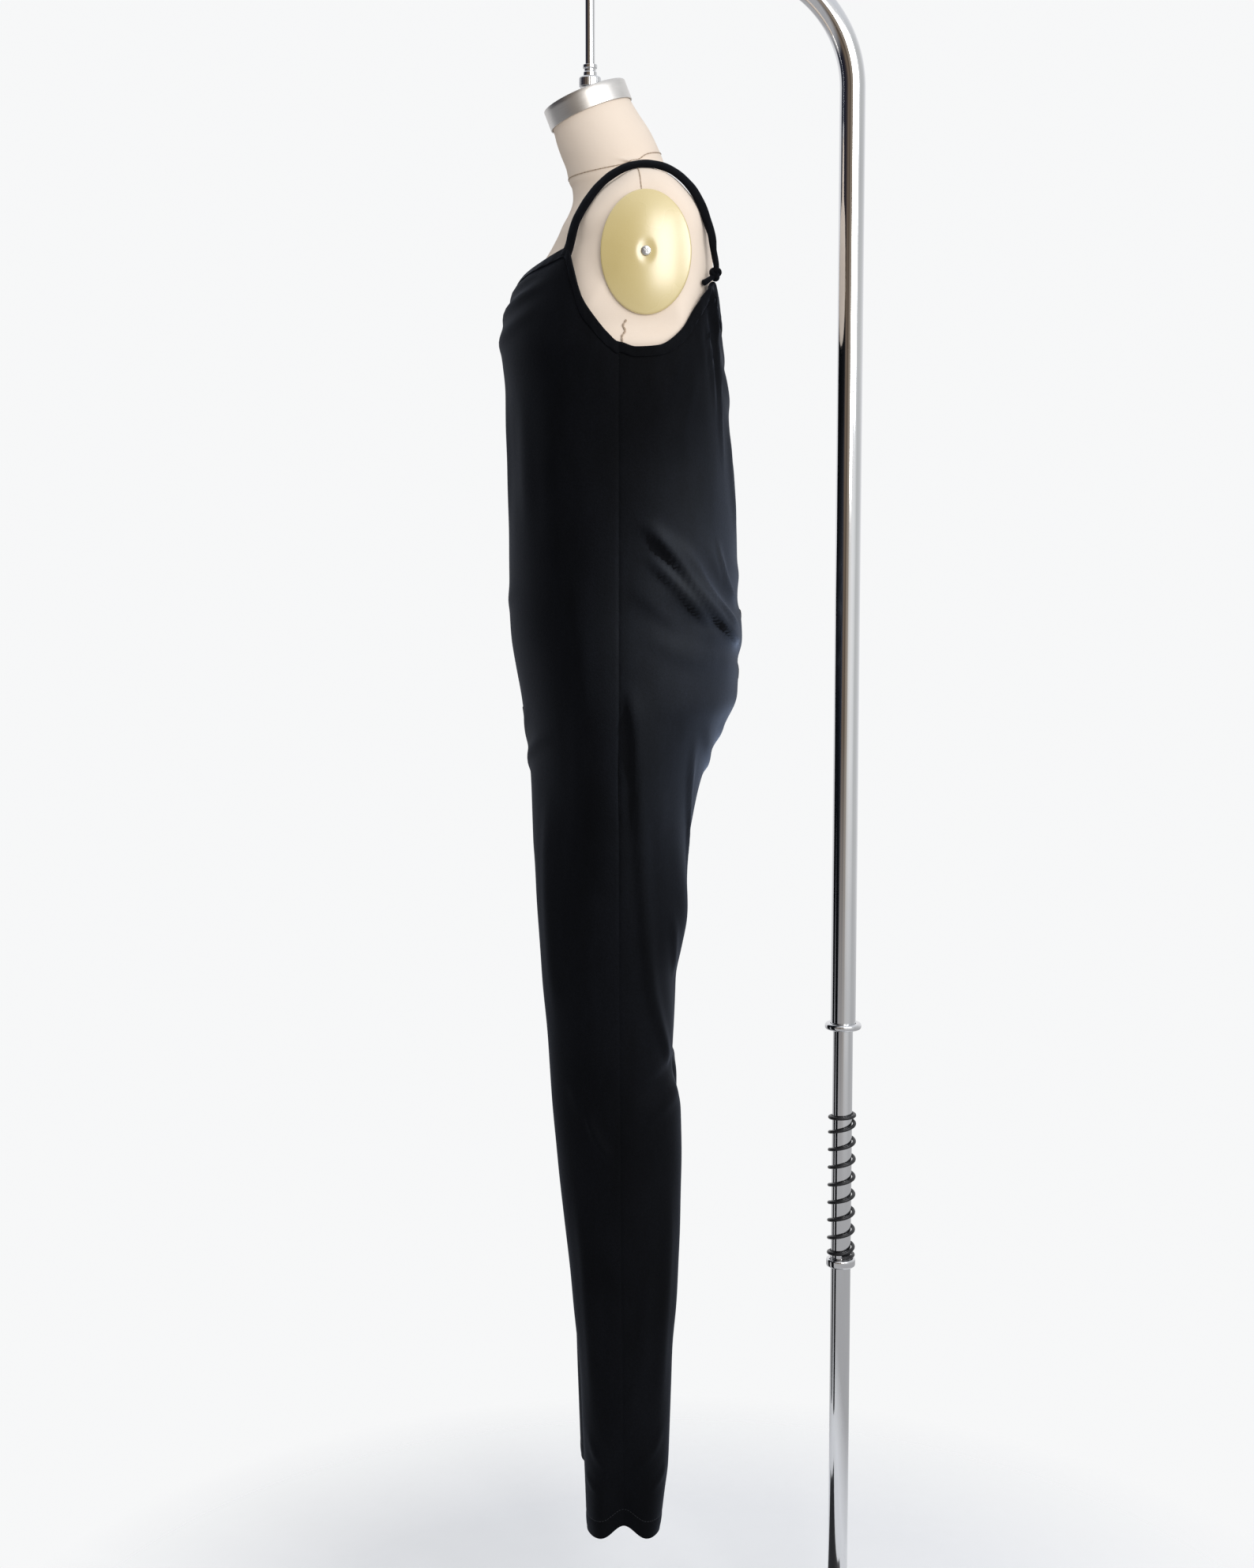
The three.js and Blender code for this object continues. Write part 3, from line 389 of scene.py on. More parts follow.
# Folds that cross or start from the middle: points of [distance round from the middle seam
# (+ to the wearer's left), height].
MIDDLE_FOLDS = {
    -1: [
        ([(-128, 1600), (-66, 1583), (0, 1573), (66, 1583), (128, 1600)], (2.6, 5, 6, 0.2, 0.2)),
        ([(-150, 1583), (-74, 1563), (0, 1553), (74, 1563), (150, 1583)], (3.2, 6, 7, 0.2, 0.2)),
        ([(-160, 1558), (-80, 1535), (6, 1524), (84, 1536), (160, 1560)], (2.2, 9, 9, 0.25, 0.25)),
        ([(-46, 1500), (-38, 1400), (-42, 1290)], (1.8, 16, 14, 0.4, 0.4)),
        ([(40, 1505), (44, 1410), (36, 1300)], (1.9, 14, 16, 0.4, 0.4)),
        ([(12, 1052), (52, 1078), (104, 1098), (150, 1106)], (2.4, 8, 7, 0.25, 0.4)),
        ([(-12, 1050), (-52, 1079), (-100, 1096), (-148, 1108)], (2.5, 7, 8, 0.25, 0.4)),
        ([(8, 1084), (46, 1116), (92, 1136)], (1.6, 9, 9, 0.3, 0.45)),
        ([(-10, 1088), (-44, 1114), (-90, 1138)], (1.6, 9, 9, 0.3, 0.45)),
        ([(-110, 1262), (-40, 1246), (30, 1250), (104, 1266)], (1.5, 12, 10, 0.35, 0.35)),
    ],
    1: [
        ([(-196, 1207), (-130, 1192), (-52, 1176), (20, 1171), (96, 1184), (190, 1206)], (3.0, 10, 16, 0.2,
            0.2)),
        ([(-170, 1222), (-96, 1206), (-30, 1201)], (2.2, 9, 11, 0.3, 0.4)),
        ([(172, 1224), (104, 1209), (36, 1205)], (2.4, 11, 9, 0.3, 0.4)),
        ([(-150, 1168), (-84, 1152), (-20, 1146), (54, 1150), (140, 1170)], (1.5, 14, 14, 0.3, 0.3)),
        ([(-150, 1248), (-80, 1230), (10, 1234), (80, 1228), (146, 1246)], (2.6, 9, 12, 0.25, 0.25)),
        ([(-120, 1290), (-50, 1272), (24, 1276), (110, 1292)], (1.8, 11, 13, 0.3, 0.3)),
        ([(-88, 1548), (-46, 1518), (0, 1508), (46, 1519), (88, 1549)], (2.6, 8, 9, 0.2, 0.2)),
        ([(-96, 1506), (-48, 1474), (4, 1464), (50, 1476), (98, 1508)], (2.4, 11, 12, 0.2, 0.2)),
        ([(-60, 1452), (-54, 1380), (-58, 1300)], (2.4, 13, 10, 0.35, 0.35)),
        ([(56, 1456), (60, 1384), (52, 1306)], (2.4, 10, 13, 0.35, 0.35)),
        ([(-8, 1440), (-3, 1370), (-8, 1310)], (1.6, 12, 12, 0.4, 0.4)),
        ([(10, 1062), (52, 1072), (100, 1096), (140, 1128)], (3.0, 9, 7, 0.2, 0.4)),
        ([(-10, 1060), (-54, 1073), (-98, 1094), (-142, 1130)], (3.0, 7, 9, 0.2, 0.4)),
        ([(8, 1098), (44, 1104), (84, 1124)], (1.8, 9, 9, 0.3, 0.45)),
        ([(-8, 1100), (-46, 1106), (-86, 1122)], (1.8, 9, 9, 0.3, 0.45)),
    ],
}


def ripples(across, z, seed):
    """Slow unevenness of hanging cloth, from a fixed set of waves."""
    rng = np.random.default_rng(seed)
    total = np.zeros_like(z)
    for _ in range(9):
        length = rng.uniform(45, 150)
        turn = rng.uniform(-1.2, 1.2)
        phase = rng.uniform(0, 2 * math.pi)
        total += np.sin(2 * math.pi * (across * math.cos(turn) + z * 0.6 * math.sin(turn)) / length + phase)
    return total / 9


def relief(sign, side, grid, z, uu):
    """How far each point of a panel stands out of its plain shape, in millimetres."""
    step = np.linalg.norm(np.diff(grid[..., :2], axis=1), axis=-1)
    walked = np.concatenate([np.zeros((len(z), 1)), np.cumsum(step, axis=1)], axis=1)
    middle = walked
    beside = (walked[:, -1:] - walked) * sign
    to_side, to_middle = np.abs(beside), walked
    out = np.zeros_like(z)
    fade_middle = smooth(to_middle / 22)
    for line, shape in SIDE_FOLDS[side]:
        out += stroke(beside, z, line, *shape) * fade_middle
    upper = smooth((z - CROTCH_Z - 20) / 60)
    for line, shape in MIDDLE_FOLDS[sign]:
        out += stroke(middle * side, z, line, *shape) * smooth(to_side / 22) * upper
    out += 0.8 * ripples(beside, z, 5 + side) * fade_middle * smooth((z - 300) / 120)
    # sewn lines: the side seam, and the middle seam above the crotch or the inseam below it
    wobble = 1 + 0.35 * np.sin(z / 4.1) * np.sin(z / 13.0 + 1.3)
    out -= 0.5 * wobble * bell(to_side / 1.6) + 0.4 * bell(to_side / 8)
    out -= 0.45 * wobble * bell(to_middle / 1.6)
    above_hem = z - hem_height(uu)
    out -= 0.55 * bell((above_hem - HEM_TURN + 1.5) / 1.3) * smooth((400 - z) / 60)
    out += 0.5 * bell((above_hem - 9) / 9) * smooth((400 - z) / 60)
    # the cloth dips a little under the edge binding
    below = band_foot(sign, side, uu[0])[None, :] - z
    out -= 0.45 * bell((below - 0.5) / 2.2)
    return out


# ---------------------------------------------------------------- mesh making
def make(name, points, faces, material, body="hanging_part", slot=None, stands_for=(), uv=None, sharp=60):
    """A piece from points in millimetres and triangle or four-corner faces."""
    faces = [np.asarray(f, np.int32) for f in faces if len(f)]
    mesh = bpy.data.meshes.new(name)
    points = np.asarray(points, float) / 1000
    mesh.vertices.add(len(points))
    mesh.vertices.foreach_set("co", points.astype(np.float32).ravel())
    corners = np.concatenate([f.ravel() for f in faces])
    sizes = np.concatenate([np.full(len(f), f.shape[1], np.int32) for f in faces])
    mesh.loops.add(len(corners))
    mesh.loops.foreach_set("vertex_index", corners)
    mesh.polygons.add(len(sizes))
    mesh.polygons.foreach_set("loop_start", np.concatenate([[0], np.cumsum(sizes)[:-1]]).astype(np.int32))
    mesh.polygons.foreach_set("use_smooth", np.ones(len(sizes), bool))
    if uv is not None:
        layer = mesh.uv_layers.new(name="surface")
        layer.data.foreach_set("uv", np.asarray(uv, np.float32)[corners].ravel())
    mesh.update(calc_edges=True)
    mesh.validate()
    mesh.set_sharp_from_angle(angle=math.radians(sharp))
    mesh.materials.append(material)
    piece = bpy.data.objects.new(name, mesh)
    bpy.context.scene.collection.objects.link(piece)
    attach(piece, body)
    if stands_for:
        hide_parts(*stands_for)
    return piece


def lattice(rows, cols, wrap_rows=False, wrap_cols=False, start=0):
    """Four-corner faces of a grid of points, row by row."""
    i = np.arange(rows if wrap_rows else rows - 1)[:, None]
    j = np.arange(cols if wrap_cols else cols - 1)[None, :]
    ni, nj = (i + 1) % rows, (j + 1) % cols
    quads = np.stack([i * cols + j, i * cols + nj, ni * cols + nj, ni * cols + j], axis=-1)
    return quads.reshape(-1, 4) + start


def shell(outer, inner, flip):
    """Closed wall between two grids of points."""
    rows, cols = outer.shape[:2]
    size = rows * cols
    front = lattice(rows, cols)
    back = lattice(rows, cols, start=size)[:, ::-1]
    edge = np.concatenate([
        np.arange(cols), np.arange(1, rows) * cols + cols - 1,
        (rows - 1) * cols + np.arange(cols - 2, -1, -1), np.arange(rows - 2, 0, -1) * cols,
    ])
    after = np.roll(edge, -1)
    rim = np.stack([after, edge, edge + size, after + size], axis=-1)
    faces = np.concatenate([front, back, rim])
    points = np.concatenate([outer.reshape(-1, 3), inner.reshape(-1, 3)])
    return points, (faces[:, ::-1] if flip else faces)


def loft(loops, wrap=False, ends=True):
    """Solid or tube through equal closed loops of points."""
    loops = np.asarray(loops, float)
    rows, cols = loops.shape[:2]
    points = loops.reshape(-1, 3)
    quads = lattice(rows, cols, wrap_rows=wrap, wrap_cols=True)
    triangles = []
    if ends and not wrap:
        points = np.vstack([points, loops[0].mean(0), loops[-1].mean(0)])
        j = np.arange(cols)
        nj = (j + 1) % cols
        first, last = rows * cols, rows * cols + 1
        base = (rows - 1) * cols
        triangles = np.concatenate([
            np.stack([np.full(cols, first), nj, j], axis=-1),
            np.stack([np.full(cols, last), base + j, base + nj], axis=-1),
        ])
    return points, [quads, triangles]


def outward(points, faces):
    """Turns every face so that they face out of the volume."""
    volume = 0.0
    for f in faces:
        for k in range(1, np.shape(f)[1] - 1 if len(f) else 0):
            a, b, c = points[f[:, 0]], points[f[:, k]], points[f[:, k + 1]]
            volume += float((a * np.cross(b, c)).sum())
    return faces if volume > 0 else [np.asarray(f)[:, ::-1] if len(f) else f for f in faces]


def solid(name, loops, material, wrap=False, **options):
    loops = np.asarray(loops, float)
    points, faces = loft(loops, wrap)
    rows, cols = loops.shape[:2]
    around = np.concatenate([[0], np.cumsum(np.linalg.norm(np.diff(loops[rows // 2], axis=0), axis=-1))])
    along = np.concatenate([[0], np.cumsum(np.linalg.norm(np.diff(loops.mean(1), axis=0), axis=-1))])
    if along[-1] < 1e-6:
        along = np.concatenate([[0], np.cumsum(np.linalg.norm(np.diff(loops[:, 0], axis=0), axis=-1))])
    uv = np.stack(np.broadcast_arrays(around[None, :], along[:, None]), axis=-1).reshape(-1, 2) / 1000
    uv = np.vstack([uv, np.zeros((len(points) - len(uv), 2))])
    return make(name, points, outward(points, faces), material, uv=uv, **options)


def ring_of(radius, sides, place):
    a = 2 * math.pi * np.arange(sides) / sides
    return place(radius * np.cos(a), radius * np.sin(a))


def upright(y):
    return lambda r, z, sides: ring_of(
        r, sides, lambda a, b: np.stack([a, y + b, np.full_like(a, z)], axis=-1))


def rounded(outline, radius=0.5, steps=4):
    """A closed outline of [radius, height] corners with each corner rounded."""
    p = np.array(outline, float)
    result = []
    for k in range(len(p)):
        before, here, after = p[k - 1], p[k], p[(k + 1) % len(p)]
        a, b = before - here, after - here
        reach = min(radius, 0.45 * math.hypot(*a), 0.45 * math.hypot(*b))
        a, b = here + a / math.hypot(*a) * reach, here + b / math.hypot(*b) * reach
        for t in np.linspace(0, 1, steps + 1):
            result.append((1 - t) ** 2 * a + 2 * t * (1 - t) * here + t * t * b)
    return np.array(result)


def turned_ring(name, outline, y, material, sides=96, radius=0.5, **options):
    place = upright(y)
    loops = [place(r, z, sides) for r, z in rounded(outline, radius)]
    return solid(name, loops, material, wrap=True, sharp=40, **options)


# ---------------------------------------------------------------- materials
class Paint:
    """A node material, built up from its Principled shader."""

    def __init__(self, name, **constants):
        self.material = bpy.data.materials.new(name)
        self.material.use_nodes = True
        self.tree = self.material.node_tree
        self.shader = self.tree.nodes["Principled BSDF"]
        for key, value in constants.items():
            self.shader.inputs[key.replace("_", " ")].default_value = value

    def node(self, kind, **settings):
        made = self.tree.nodes.new(kind)
        for key, value in settings.items():
            setattr(made, key, value)
        return made

    def join(self, source, target):
        self.tree.links.new(source, target)

    def place(self, kind="Object", scale=(1, 1, 1)):
        where = self.node("ShaderNodeTexCoord")
        stretch = self.node("ShaderNodeMapping")
        stretch.inputs["Scale"].default_value = scale
        self.join(where.outputs[kind], stretch.inputs["Vector"])
        return stretch.outputs["Vector"]

    def noise(self, vector, scale, detail=2.0, roughness=0.5, distortion=0.0):
        n = self.node("ShaderNodeTexNoise")
        n.inputs["Scale"].default_value = scale
        n.inputs["Detail"].default_value = detail
        n.inputs["Roughness"].default_value = roughness
        n.inputs["Distortion"].default_value = distortion
        self.join(vector, n.inputs["Vector"])
        return n.outputs["Fac"]

    def wave(self, vector, scale, direction, distortion=0.0, profile="SIN"):
        n = self.node("ShaderNodeTexWave", wave_type="BANDS", bands_direction=direction, wave_profile=profile)
        n.inputs["Scale"].default_value = scale
        n.inputs["Distortion"].default_value = distortion
        n.inputs["Detail"].default_value = 1.0
        self.join(vector, n.inputs["Vector"])
        return n.outputs["Fac"]

    def math(self, operation, a, b):
        n = self.node("ShaderNodeMath", operation=operation)
        for k, value in enumerate((a, b)):
            if isinstance(value, (int, float)):
                n.inputs[k].default_value = value
            else:
                self.join(value, n.inputs[k])
        return n.outputs[0]

    def ramp(self, factor, stops):
        n = self.node("ShaderNodeValToRGB")
        ramp = n.color_ramp
        while len(ramp.elements) < len(stops):
            ramp.elements.new(0.5)
        for element, (position, colour) in zip(ramp.elements, stops):
            element.position = position
            element.color = (*colour, 1) if len(colour) == 3 else colour
        self.join(factor, n.inputs["Fac"])
        return n.outputs["Color"]

    def blend(self, factor, a, b):
        n = self.node("ShaderNodeMix", data_type="RGBA")
        for socket, value in ((n.inputs[0], factor), (n.inputs[6], a), (n.inputs[7], b)):
            if isinstance(value, (int, float)):
                socket.default_value = value
            elif isinstance(value, tuple):
                socket.default_value = (*value, 1)
            else:
                self.join(value, socket)
        return n.outputs[2]

    def bump(self, height, strength, distance, under=None):
        n = self.node("ShaderNodeBump")
        n.inputs["Strength"].default_value = strength
        n.inputs["Distance"].default_value = distance
        self.join(height, n.inputs["Height"])
        if under is not None:
            self.join(under, n.inputs["Normal"])
        return n.outputs["Normal"]

    def set(self, **sockets):
        for key, source in sockets.items():
            self.join(source, self.shader.inputs[key.replace("_", " ")])
        return self.material


def velvet_material():
    p = Paint("velvet_pile", Roughness=0.72, Specular_IOR_Level=0.06, Sheen_Weight=1.0, Sheen_Roughness=0.42,
              Sheen_Tint=(0.046, 0.055, 0.076, 1))
    place = p.place()
    streaks = p.noise(p.place(scale=(1, 1, 0.35)), 26, 3.0, 0.6)
    patches = p.noise(place, 7, 2.0)
    pile = p.noise(place, 1500, 1.0)
    fine = p.noise(place, 420, 2.0)
    shade = p.math("MULTIPLY", p.math("ADD", p.math("MULTIPLY", streaks, 0.6), p.math("MULTIPLY", patches,
        0.4)), 1)
    colour = p.ramp(shade, [(0.35, (0.0009, 0.0011, 0.0017)), (0.65, (0.0026, 0.003, 0.0044))])
    speckle = p.ramp(fine, [(0.3, (0.75, 0.75, 0.75)), (0.7, (1.2, 1.2, 1.2))])
    n = p.node("ShaderNodeMix", data_type="RGBA", blend_type="MULTIPLY")
    n.inputs[0].default_value = 1
    p.join(colour, n.inputs[6])
    p.join(speckle, n.inputs[7])
    rough = p.math("ADD", p.math("MULTIPLY", pile, 0.18), 0.62)
    normal = p.bump(p.math("ADD", p.math("MULTIPLY", pile, 0.4), p.math("MULTIPLY", fine, 0.6)), 0.35, 0.0006)
    return p.set(Base_Color=n.outputs[2], Roughness=rough, Normal=normal)


def linen_material():
    p = Paint("form_linen", Roughness=0.9, Specular_IOR_Level=0.2, Sheen_Weight=0.25, Sheen_Roughness=0.5,
              Sheen_Tint=(1, 0.94, 0.86, 1))
    cloth = p.place("UV")
    warp = p.wave(cloth, 560, "X", 0.8)
    weft = p.wave(cloth, 560, "Y", 0.8)
    slub = p.noise(p.place("UV", (1, 9, 1)), 90, 3.0, 0.6)
    slub_across = p.noise(p.place("UV", (9, 1, 1)), 90, 3.0, 0.6)
    tone = p.noise(p.place(), 9, 3.0)
    weave = p.math("MULTIPLY", warp, weft)
    colour = p.ramp(tone, [(0.3, (0.79, 0.66, 0.545)), (0.7, (0.835, 0.715, 0.6))])
    threads = p.math("ADD", p.math("MULTIPLY", weave, 0.5), p.math("MULTIPLY", p.math("ADD", slub,
        slub_across), 0.5))
    colour = p.blend(p.math("MULTIPLY", threads, 0.4), colour, (0.9, 0.8, 0.69))
    normal = p.bump(threads, 0.3, 0.0004)
    return p.set(Base_Color=colour, Normal=normal)


def seam_material():
    p = Paint("form_seam_thread", Roughness=0.95, Specular_IOR_Level=0.1)
    twist = p.noise(p.place(), 700, 2.0)
    colour = p.ramp(twist, [(0.35, (0.33, 0.25, 0.18)), (0.65, (0.5, 0.4, 0.31))])
    return p.set(Base_Color=colour, Normal=p.bump(twist, 0.4, 0.0003))


def cream_material():
    p = Paint("arm_plate_enamel", Metallic=0.0, Coat_Weight=1.0, Coat_Roughness=0.26, Coat_IOR=1.9,
              Specular_IOR_Level=0.6)
    place = p.place()
    flow = p.noise(place, 14, 3.0, 0.5)
    fleck = p.noise(place, 900, 2.0)
    base = p.ramp(flow, [(0.3, (0.6, 0.47, 0.18)), (0.7, (0.68, 0.55, 0.235))])
    colour = p.blend(p.math("MULTIPLY", fleck, 0.25), base, (0.72, 0.64, 0.38))
    rough = p.math("ADD", p.math("MULTIPLY", flow, 0.1), 0.22)
    return p.set(Base_Color=colour, Roughness=rough, Normal=p.bump(flow, 0.12, 0.0015))


def brushed_material(name, colour, lines):
    p = Paint(name, Metallic=1.0, Anisotropic=0.75)
    tangent = p.node("ShaderNodeTangent", direction_type="UV_MAP")
    tangent.uv_map = "surface"
    p.join(tangent.outputs[0], p.shader.inputs["Tangent"])
    grain = p.noise(p.place("UV", lines), 60, 4.0, 0.65)
    broad = p.noise(p.place(), 30, 2.0)
    tone = p.ramp(grain, [(0.3, tuple(0.86 * c for c in colour)), (0.7, colour)])
    rough = p.math("ADD", p.math("MULTIPLY", grain, 0.16), p.math("ADD", p.math("MULTIPLY", broad, 0.08),
                                                                  0.2))
    return p.set(Base_Color=tone, Roughness=rough, Normal=p.bump(grain, 0.08, 0.0003))


def chrome_material():
    p = Paint("stand_chrome", Metallic=1.0)
    place = p.place()
    haze = p.noise(p.place(scale=(1, 1, 0.12)), 40, 4.0, 0.6)
    pits = p.noise(place, 520, 2.0)
    marks = p.ramp(pits, [(0.71, (0, 0, 0)), (0.76, (1, 1, 1))])
    low = p.noise(place, 5, 2.0)
    spots = p.math("MULTIPLY", marks, p.ramp(low, [(0.5, (0, 0, 0)), (0.62, (1, 1, 1))]))
    colour = p.blend(spots, p.ramp(haze, [(0.3, (0.66, 0.665, 0.68)), (0.7, (0.74, 0.745, 0.755))]), (0.42,
        0.4, 0.38))
    rough = p.math("ADD", p.math("MULTIPLY", haze, 0.07), p.math("ADD", p.math("MULTIPLY", spots, 0.3),
                                                                 0.035))
    return p.set(Base_Color=colour, Roughness=rough, Normal=p.bump(spots, 0.15, 0.0002))


def iron_material(name, gloss):
    p = Paint(name, Metallic=0.35, Specular_IOR_Level=0.5)
    place = p.place()
    grain = p.noise(place, 900, 3.0, 0.6)
    wear = p.noise(place, 60, 4.0, 0.6)
    colour = p.ramp(wear, [(0.35, (0.012, 0.012, 0.014)), (0.75, (0.03, 0.03, 0.033))])
    rough = p.math("ADD", p.math("MULTIPLY", wear, 0.2), gloss)
    return p.set(Base_Color=colour, Roughness=rough, Normal=p.bump(grain, 0.2, 0.0002))


def thread_material():
    p = Paint("stitch_thread", Roughness=0.7, Sheen_Weight=0.3, Sheen_Tint=(0.3, 0.33, 0.4, 1))
    twist = p.noise(p.place(), 1800, 2.0)
    colour = p.ramp(twist, [(0.3, (0.006, 0.007, 0.01)), (0.7, (0.02, 0.022, 0.028))])
    return p.set(Base_Color=colour, Normal=p.bump(twist, 0.4, 0.0002))


VELVET = velvet_material()
LINEN = linen_material()
SEAM = seam_material()
CREAM = cream_material()
BRUSHED = brushed_material("cap_brushed_steel", (0.72, 0.7, 0.675), (0.6, 34, 1))
SCREW = brushed_material("screw_steel", (0.7, 0.7, 0.7), (4, 4, 1))
CHROME = chrome_material()
IRON = iron_material("spring_black", 0.22)
BASE = iron_material("base_black_powder", 0.42)
THREAD = thread_material()

# ---------------------------------------------------------------- the panels
SIDES = {"left": 1, "right": -1}
panels, edges = {}, {}
for sign, face in ((-1, "front"), (1, "back")):
    for word, side in SIDES.items():
        grid, z, uu = panel_grid(sign, side)
        normals = grid_normals(grid, z, sign)
        out = relief(sign, side, grid, z, uu)
        lift = normals.copy()
        lift[:, -1, 1:] = 0  # a side seam stays shut
        lift[z[:, 0] <= CROTCH_Z + 1, 0, 1:] = 0  # and so do the inseam and the middle seam
        lift[z[:, 0] > CROTCH_Z + 1, 0, 0] = 0
        outer = grid + unit(lift) * out[..., None]
        # the sewn edges meet their neighbours
        outer[:, -1] += 0.14 * unit(outer[:, -1] - outer[:, -2])
        outer[:, 0] += 0.14 * unit(outer[:, 0] - outer[:, 1])
        normals = grid_normals(outer, z, sign)
        inner = outer - normals * WALL
        edges[face, word] = (outer, normals, uu[0])
        flip = (sign > 0) == (side > 0)
        placed = [g * np.array([side, 1, 1]) for g in (outer, inner)]
        points, faces = shell(*placed, flip)
        around = np.concatenate([[0], np.cumsum(np.linalg.norm(np.diff(grid[200], axis=0), axis=-1))])
        uv = np.stack(np.broadcast_arrays(around[None, :], z), axis=-1).reshape(-1, 2) / 1000
        name = f"panel_{face}_{word}"
        panels[name] = make(f"{face}_{word}_velvet", points, outward(points, [faces]), VELVET, slot="velvet",
                            stands_for=[name], uv=np.vstack([uv, uv]))

# ---------------------------------------------------------------- edge bindings
# Outline of the folded band over an edge: [out of the cloth, down from the edge].
arc = np.linspace(0, math.pi, 9)
BAND = np.concatenate([
    [[1.55, 8.3], [1.75, 7.6], [1.85, 5.5], [1.85, 3], [1.75, 1]],
    np.stack([-0.9 + 2.6 * np.cos(arc), -2.0 * np.sin(arc)], axis=-1),
    [[-3.5, 2], [-3.5, 5], [-3.45, 7.6], [-3.2, 8.1]],
    [[-2.5, 8.1], [-2.3, 7.5], [-2.3, 4], [-2.3, 1]],
    np.stack([-0.9 - 1.4 * np.cos(arc), -0.65 * np.sin(arc)], axis=-1),
    [[0.5, 1], [0.5, 4], [0.5, 7.4], [0.75, 8.3]],
])


def band_loops(stations):
    """Loops of the band through its stations of (edge point, foot point, normal)."""
    loops = []
    walked = 0.0
    before = None
    for top, foot, normal in stations:
        if before is not None:
            walked += float(np.linalg.norm(top - before))
        before = top
        down = (foot - top) / BAND_WIDTH
        puff = 0.16 * math.sin(walked / 2.6) + 0.22 * math.sin(walked / 9.7 + 1)
        loop = []
        for o, d in BAND:
            grown = o + (puff if o > 1.2 and 0.5 < d < 8 else 0) + (0.12 * puff if d < -1 else 0)
            loop.append(top + down * d + normal * grown)
        loops.append(loop)
    return np.array(loops)


def stations_of(face, word, keep):
    outer, normals, u = edges[face, word]
    return [(outer[-1, j], outer[-5, j], unit(normals[-1, j] + normals[-5,
        j])) for j in range(len(u)) if keep(u[j])]


def denser(stations, step=1.6):
    """Stations spaced evenly along the edge."""
    rows = np.array(stations)
    walked = np.concatenate([[0], np.cumsum(np.linalg.norm(np.diff(rows[:, 0], axis=0), axis=-1))])
    at = np.linspace(0, walked[-1], max(8, int(walked[-1] / step)))
    flat = rows.reshape(len(rows), -1)
    spaced = np.stack([np.interp(at, walked, flat[:, k]) for k in range(9)], axis=-1).reshape(-1, 3, 3)
    spaced[:, 2] = unit(spaced[:, 2])
    return spaced


bindings = {}
SOFT_STRIPS = {}  # piece, width and length it was cut to in metres, and what it lies on


def strip(name, piece, loops, on, closed=False):
    """Notes the mean width and the length of a folded strip from its loops."""
    loops = np.asarray(loops, float)
    loops = np.concatenate([loops, loops[:1]]) if closed else loops
    wide = np.concatenate([loops, loops[:, :1]], axis=1)
    middle = loops.mean(1)
    along = np.linalg.norm(np.diff(middle, axis=0), axis=-1).sum()
    SOFT_STRIPS[name] = (piece, surface(wide) / 2 / along / 1000, along / 1000, on)


def surface(points):
    """Area of a grid of points in square millimetres."""
    a = np.cross(points[1:, 1:] - points[:-1, :-1], points[1:, :-1] - points[:-1, 1:])
    return 0.5 * np.linalg.norm(a, axis=-1).sum()


for word, side in SIDES.items():
    front = stations_of("front", word, lambda u: u >= PEAK[-1])
    back = stations_of("back", word, lambda u: PEAK[1] <= u < 1)[::-1]
    loops = band_loops(denser(front + back)) * np.array([side, 1, 1])
    bindings[f"armhole_{word}"] = solid(f"armhole_edge_{word}", loops, VELVET, slot="velvet", sharp=70,
                                        stands_for=[f"armhole_binding_{word}"])
    strip(f"armhole_{word}", bindings[f"armhole_{word}"], loops, [f"front_{word}_velvet",
                                                                  f"back_{word}_velvet"])
for sign, face in ((-1, "front"), (1, "back")):
    flip = np.array([-1, 1, 1])
    right = [(a * flip, b * flip, n * flip) for a, b, n in
             stations_of(face, "right", lambda u: 0 < u <= PEAK[sign])][::-1]
    left = stations_of(face, "left", lambda u: 0 < u <= PEAK[sign])
    loops = band_loops(denser(right + left))
    bindings[f"neckline_{face}"] = solid(f"neckline_edge_{face}", loops, VELVET, slot="velvet", sharp=70,
                                         stands_for=[f"neckline_binding_{face}"])
    strip(f"neckline_{face}", bindings[f"neckline_{face}"], loops, [f"{face}_left_velvet",
                                                                    f"{face}_right_velvet"])

# ---------------------------------------------------------------- hems
# Outline of the turned-up hem: [out of the cloth, up from the edge]. It closes the fold underneath.
HEM = np.array([
    [-2.3, 20], [-2.3, 14], [-2.3, 7], [-2.3, 0.4], [-2.2, -0.35], [-0.2, -0.35], [0.1, -0.5], [0.1, -1.0],
    [-0.5, -1.9], [-1.7, -2.2], [-2.9, -1.8], [-3.5, -0.6], [-3.6, 2], [-3.5, 7], [-3.5, 14], [-3.5, 20],
                [-2.9, 20.3],
])
for word, side in SIDES.items():
    stations = []
    for face, order in (("front", 1), ("back", -1)):
        outer, normals, u = edges[face, word]
        pick = range(len(u)) if order > 0 else range(len(u) - 2, 0, -1)
        for j in pick:
            up = unit(outer[8, j] - outer[0, j])
            stations.append((outer[0, j], up, unit(normals[2, j])))
    loops = np.array([[p + up * d + n * o for o, d in HEM] for p, up, n in stations]) * np.array([side, 1, 1])
    bindings[f"hem_{word}"] = solid(f"hem_fold_{word}", loops, VELVET, wrap=True, slot="velvet", sharp=70,
                                    stands_for=[f"hem_turning_{word}"])
    strip(f"hem_{word}", bindings[f"hem_{word}"], loops, [f"front_{word}_velvet", f"back_{word}_velvet"],
          True)


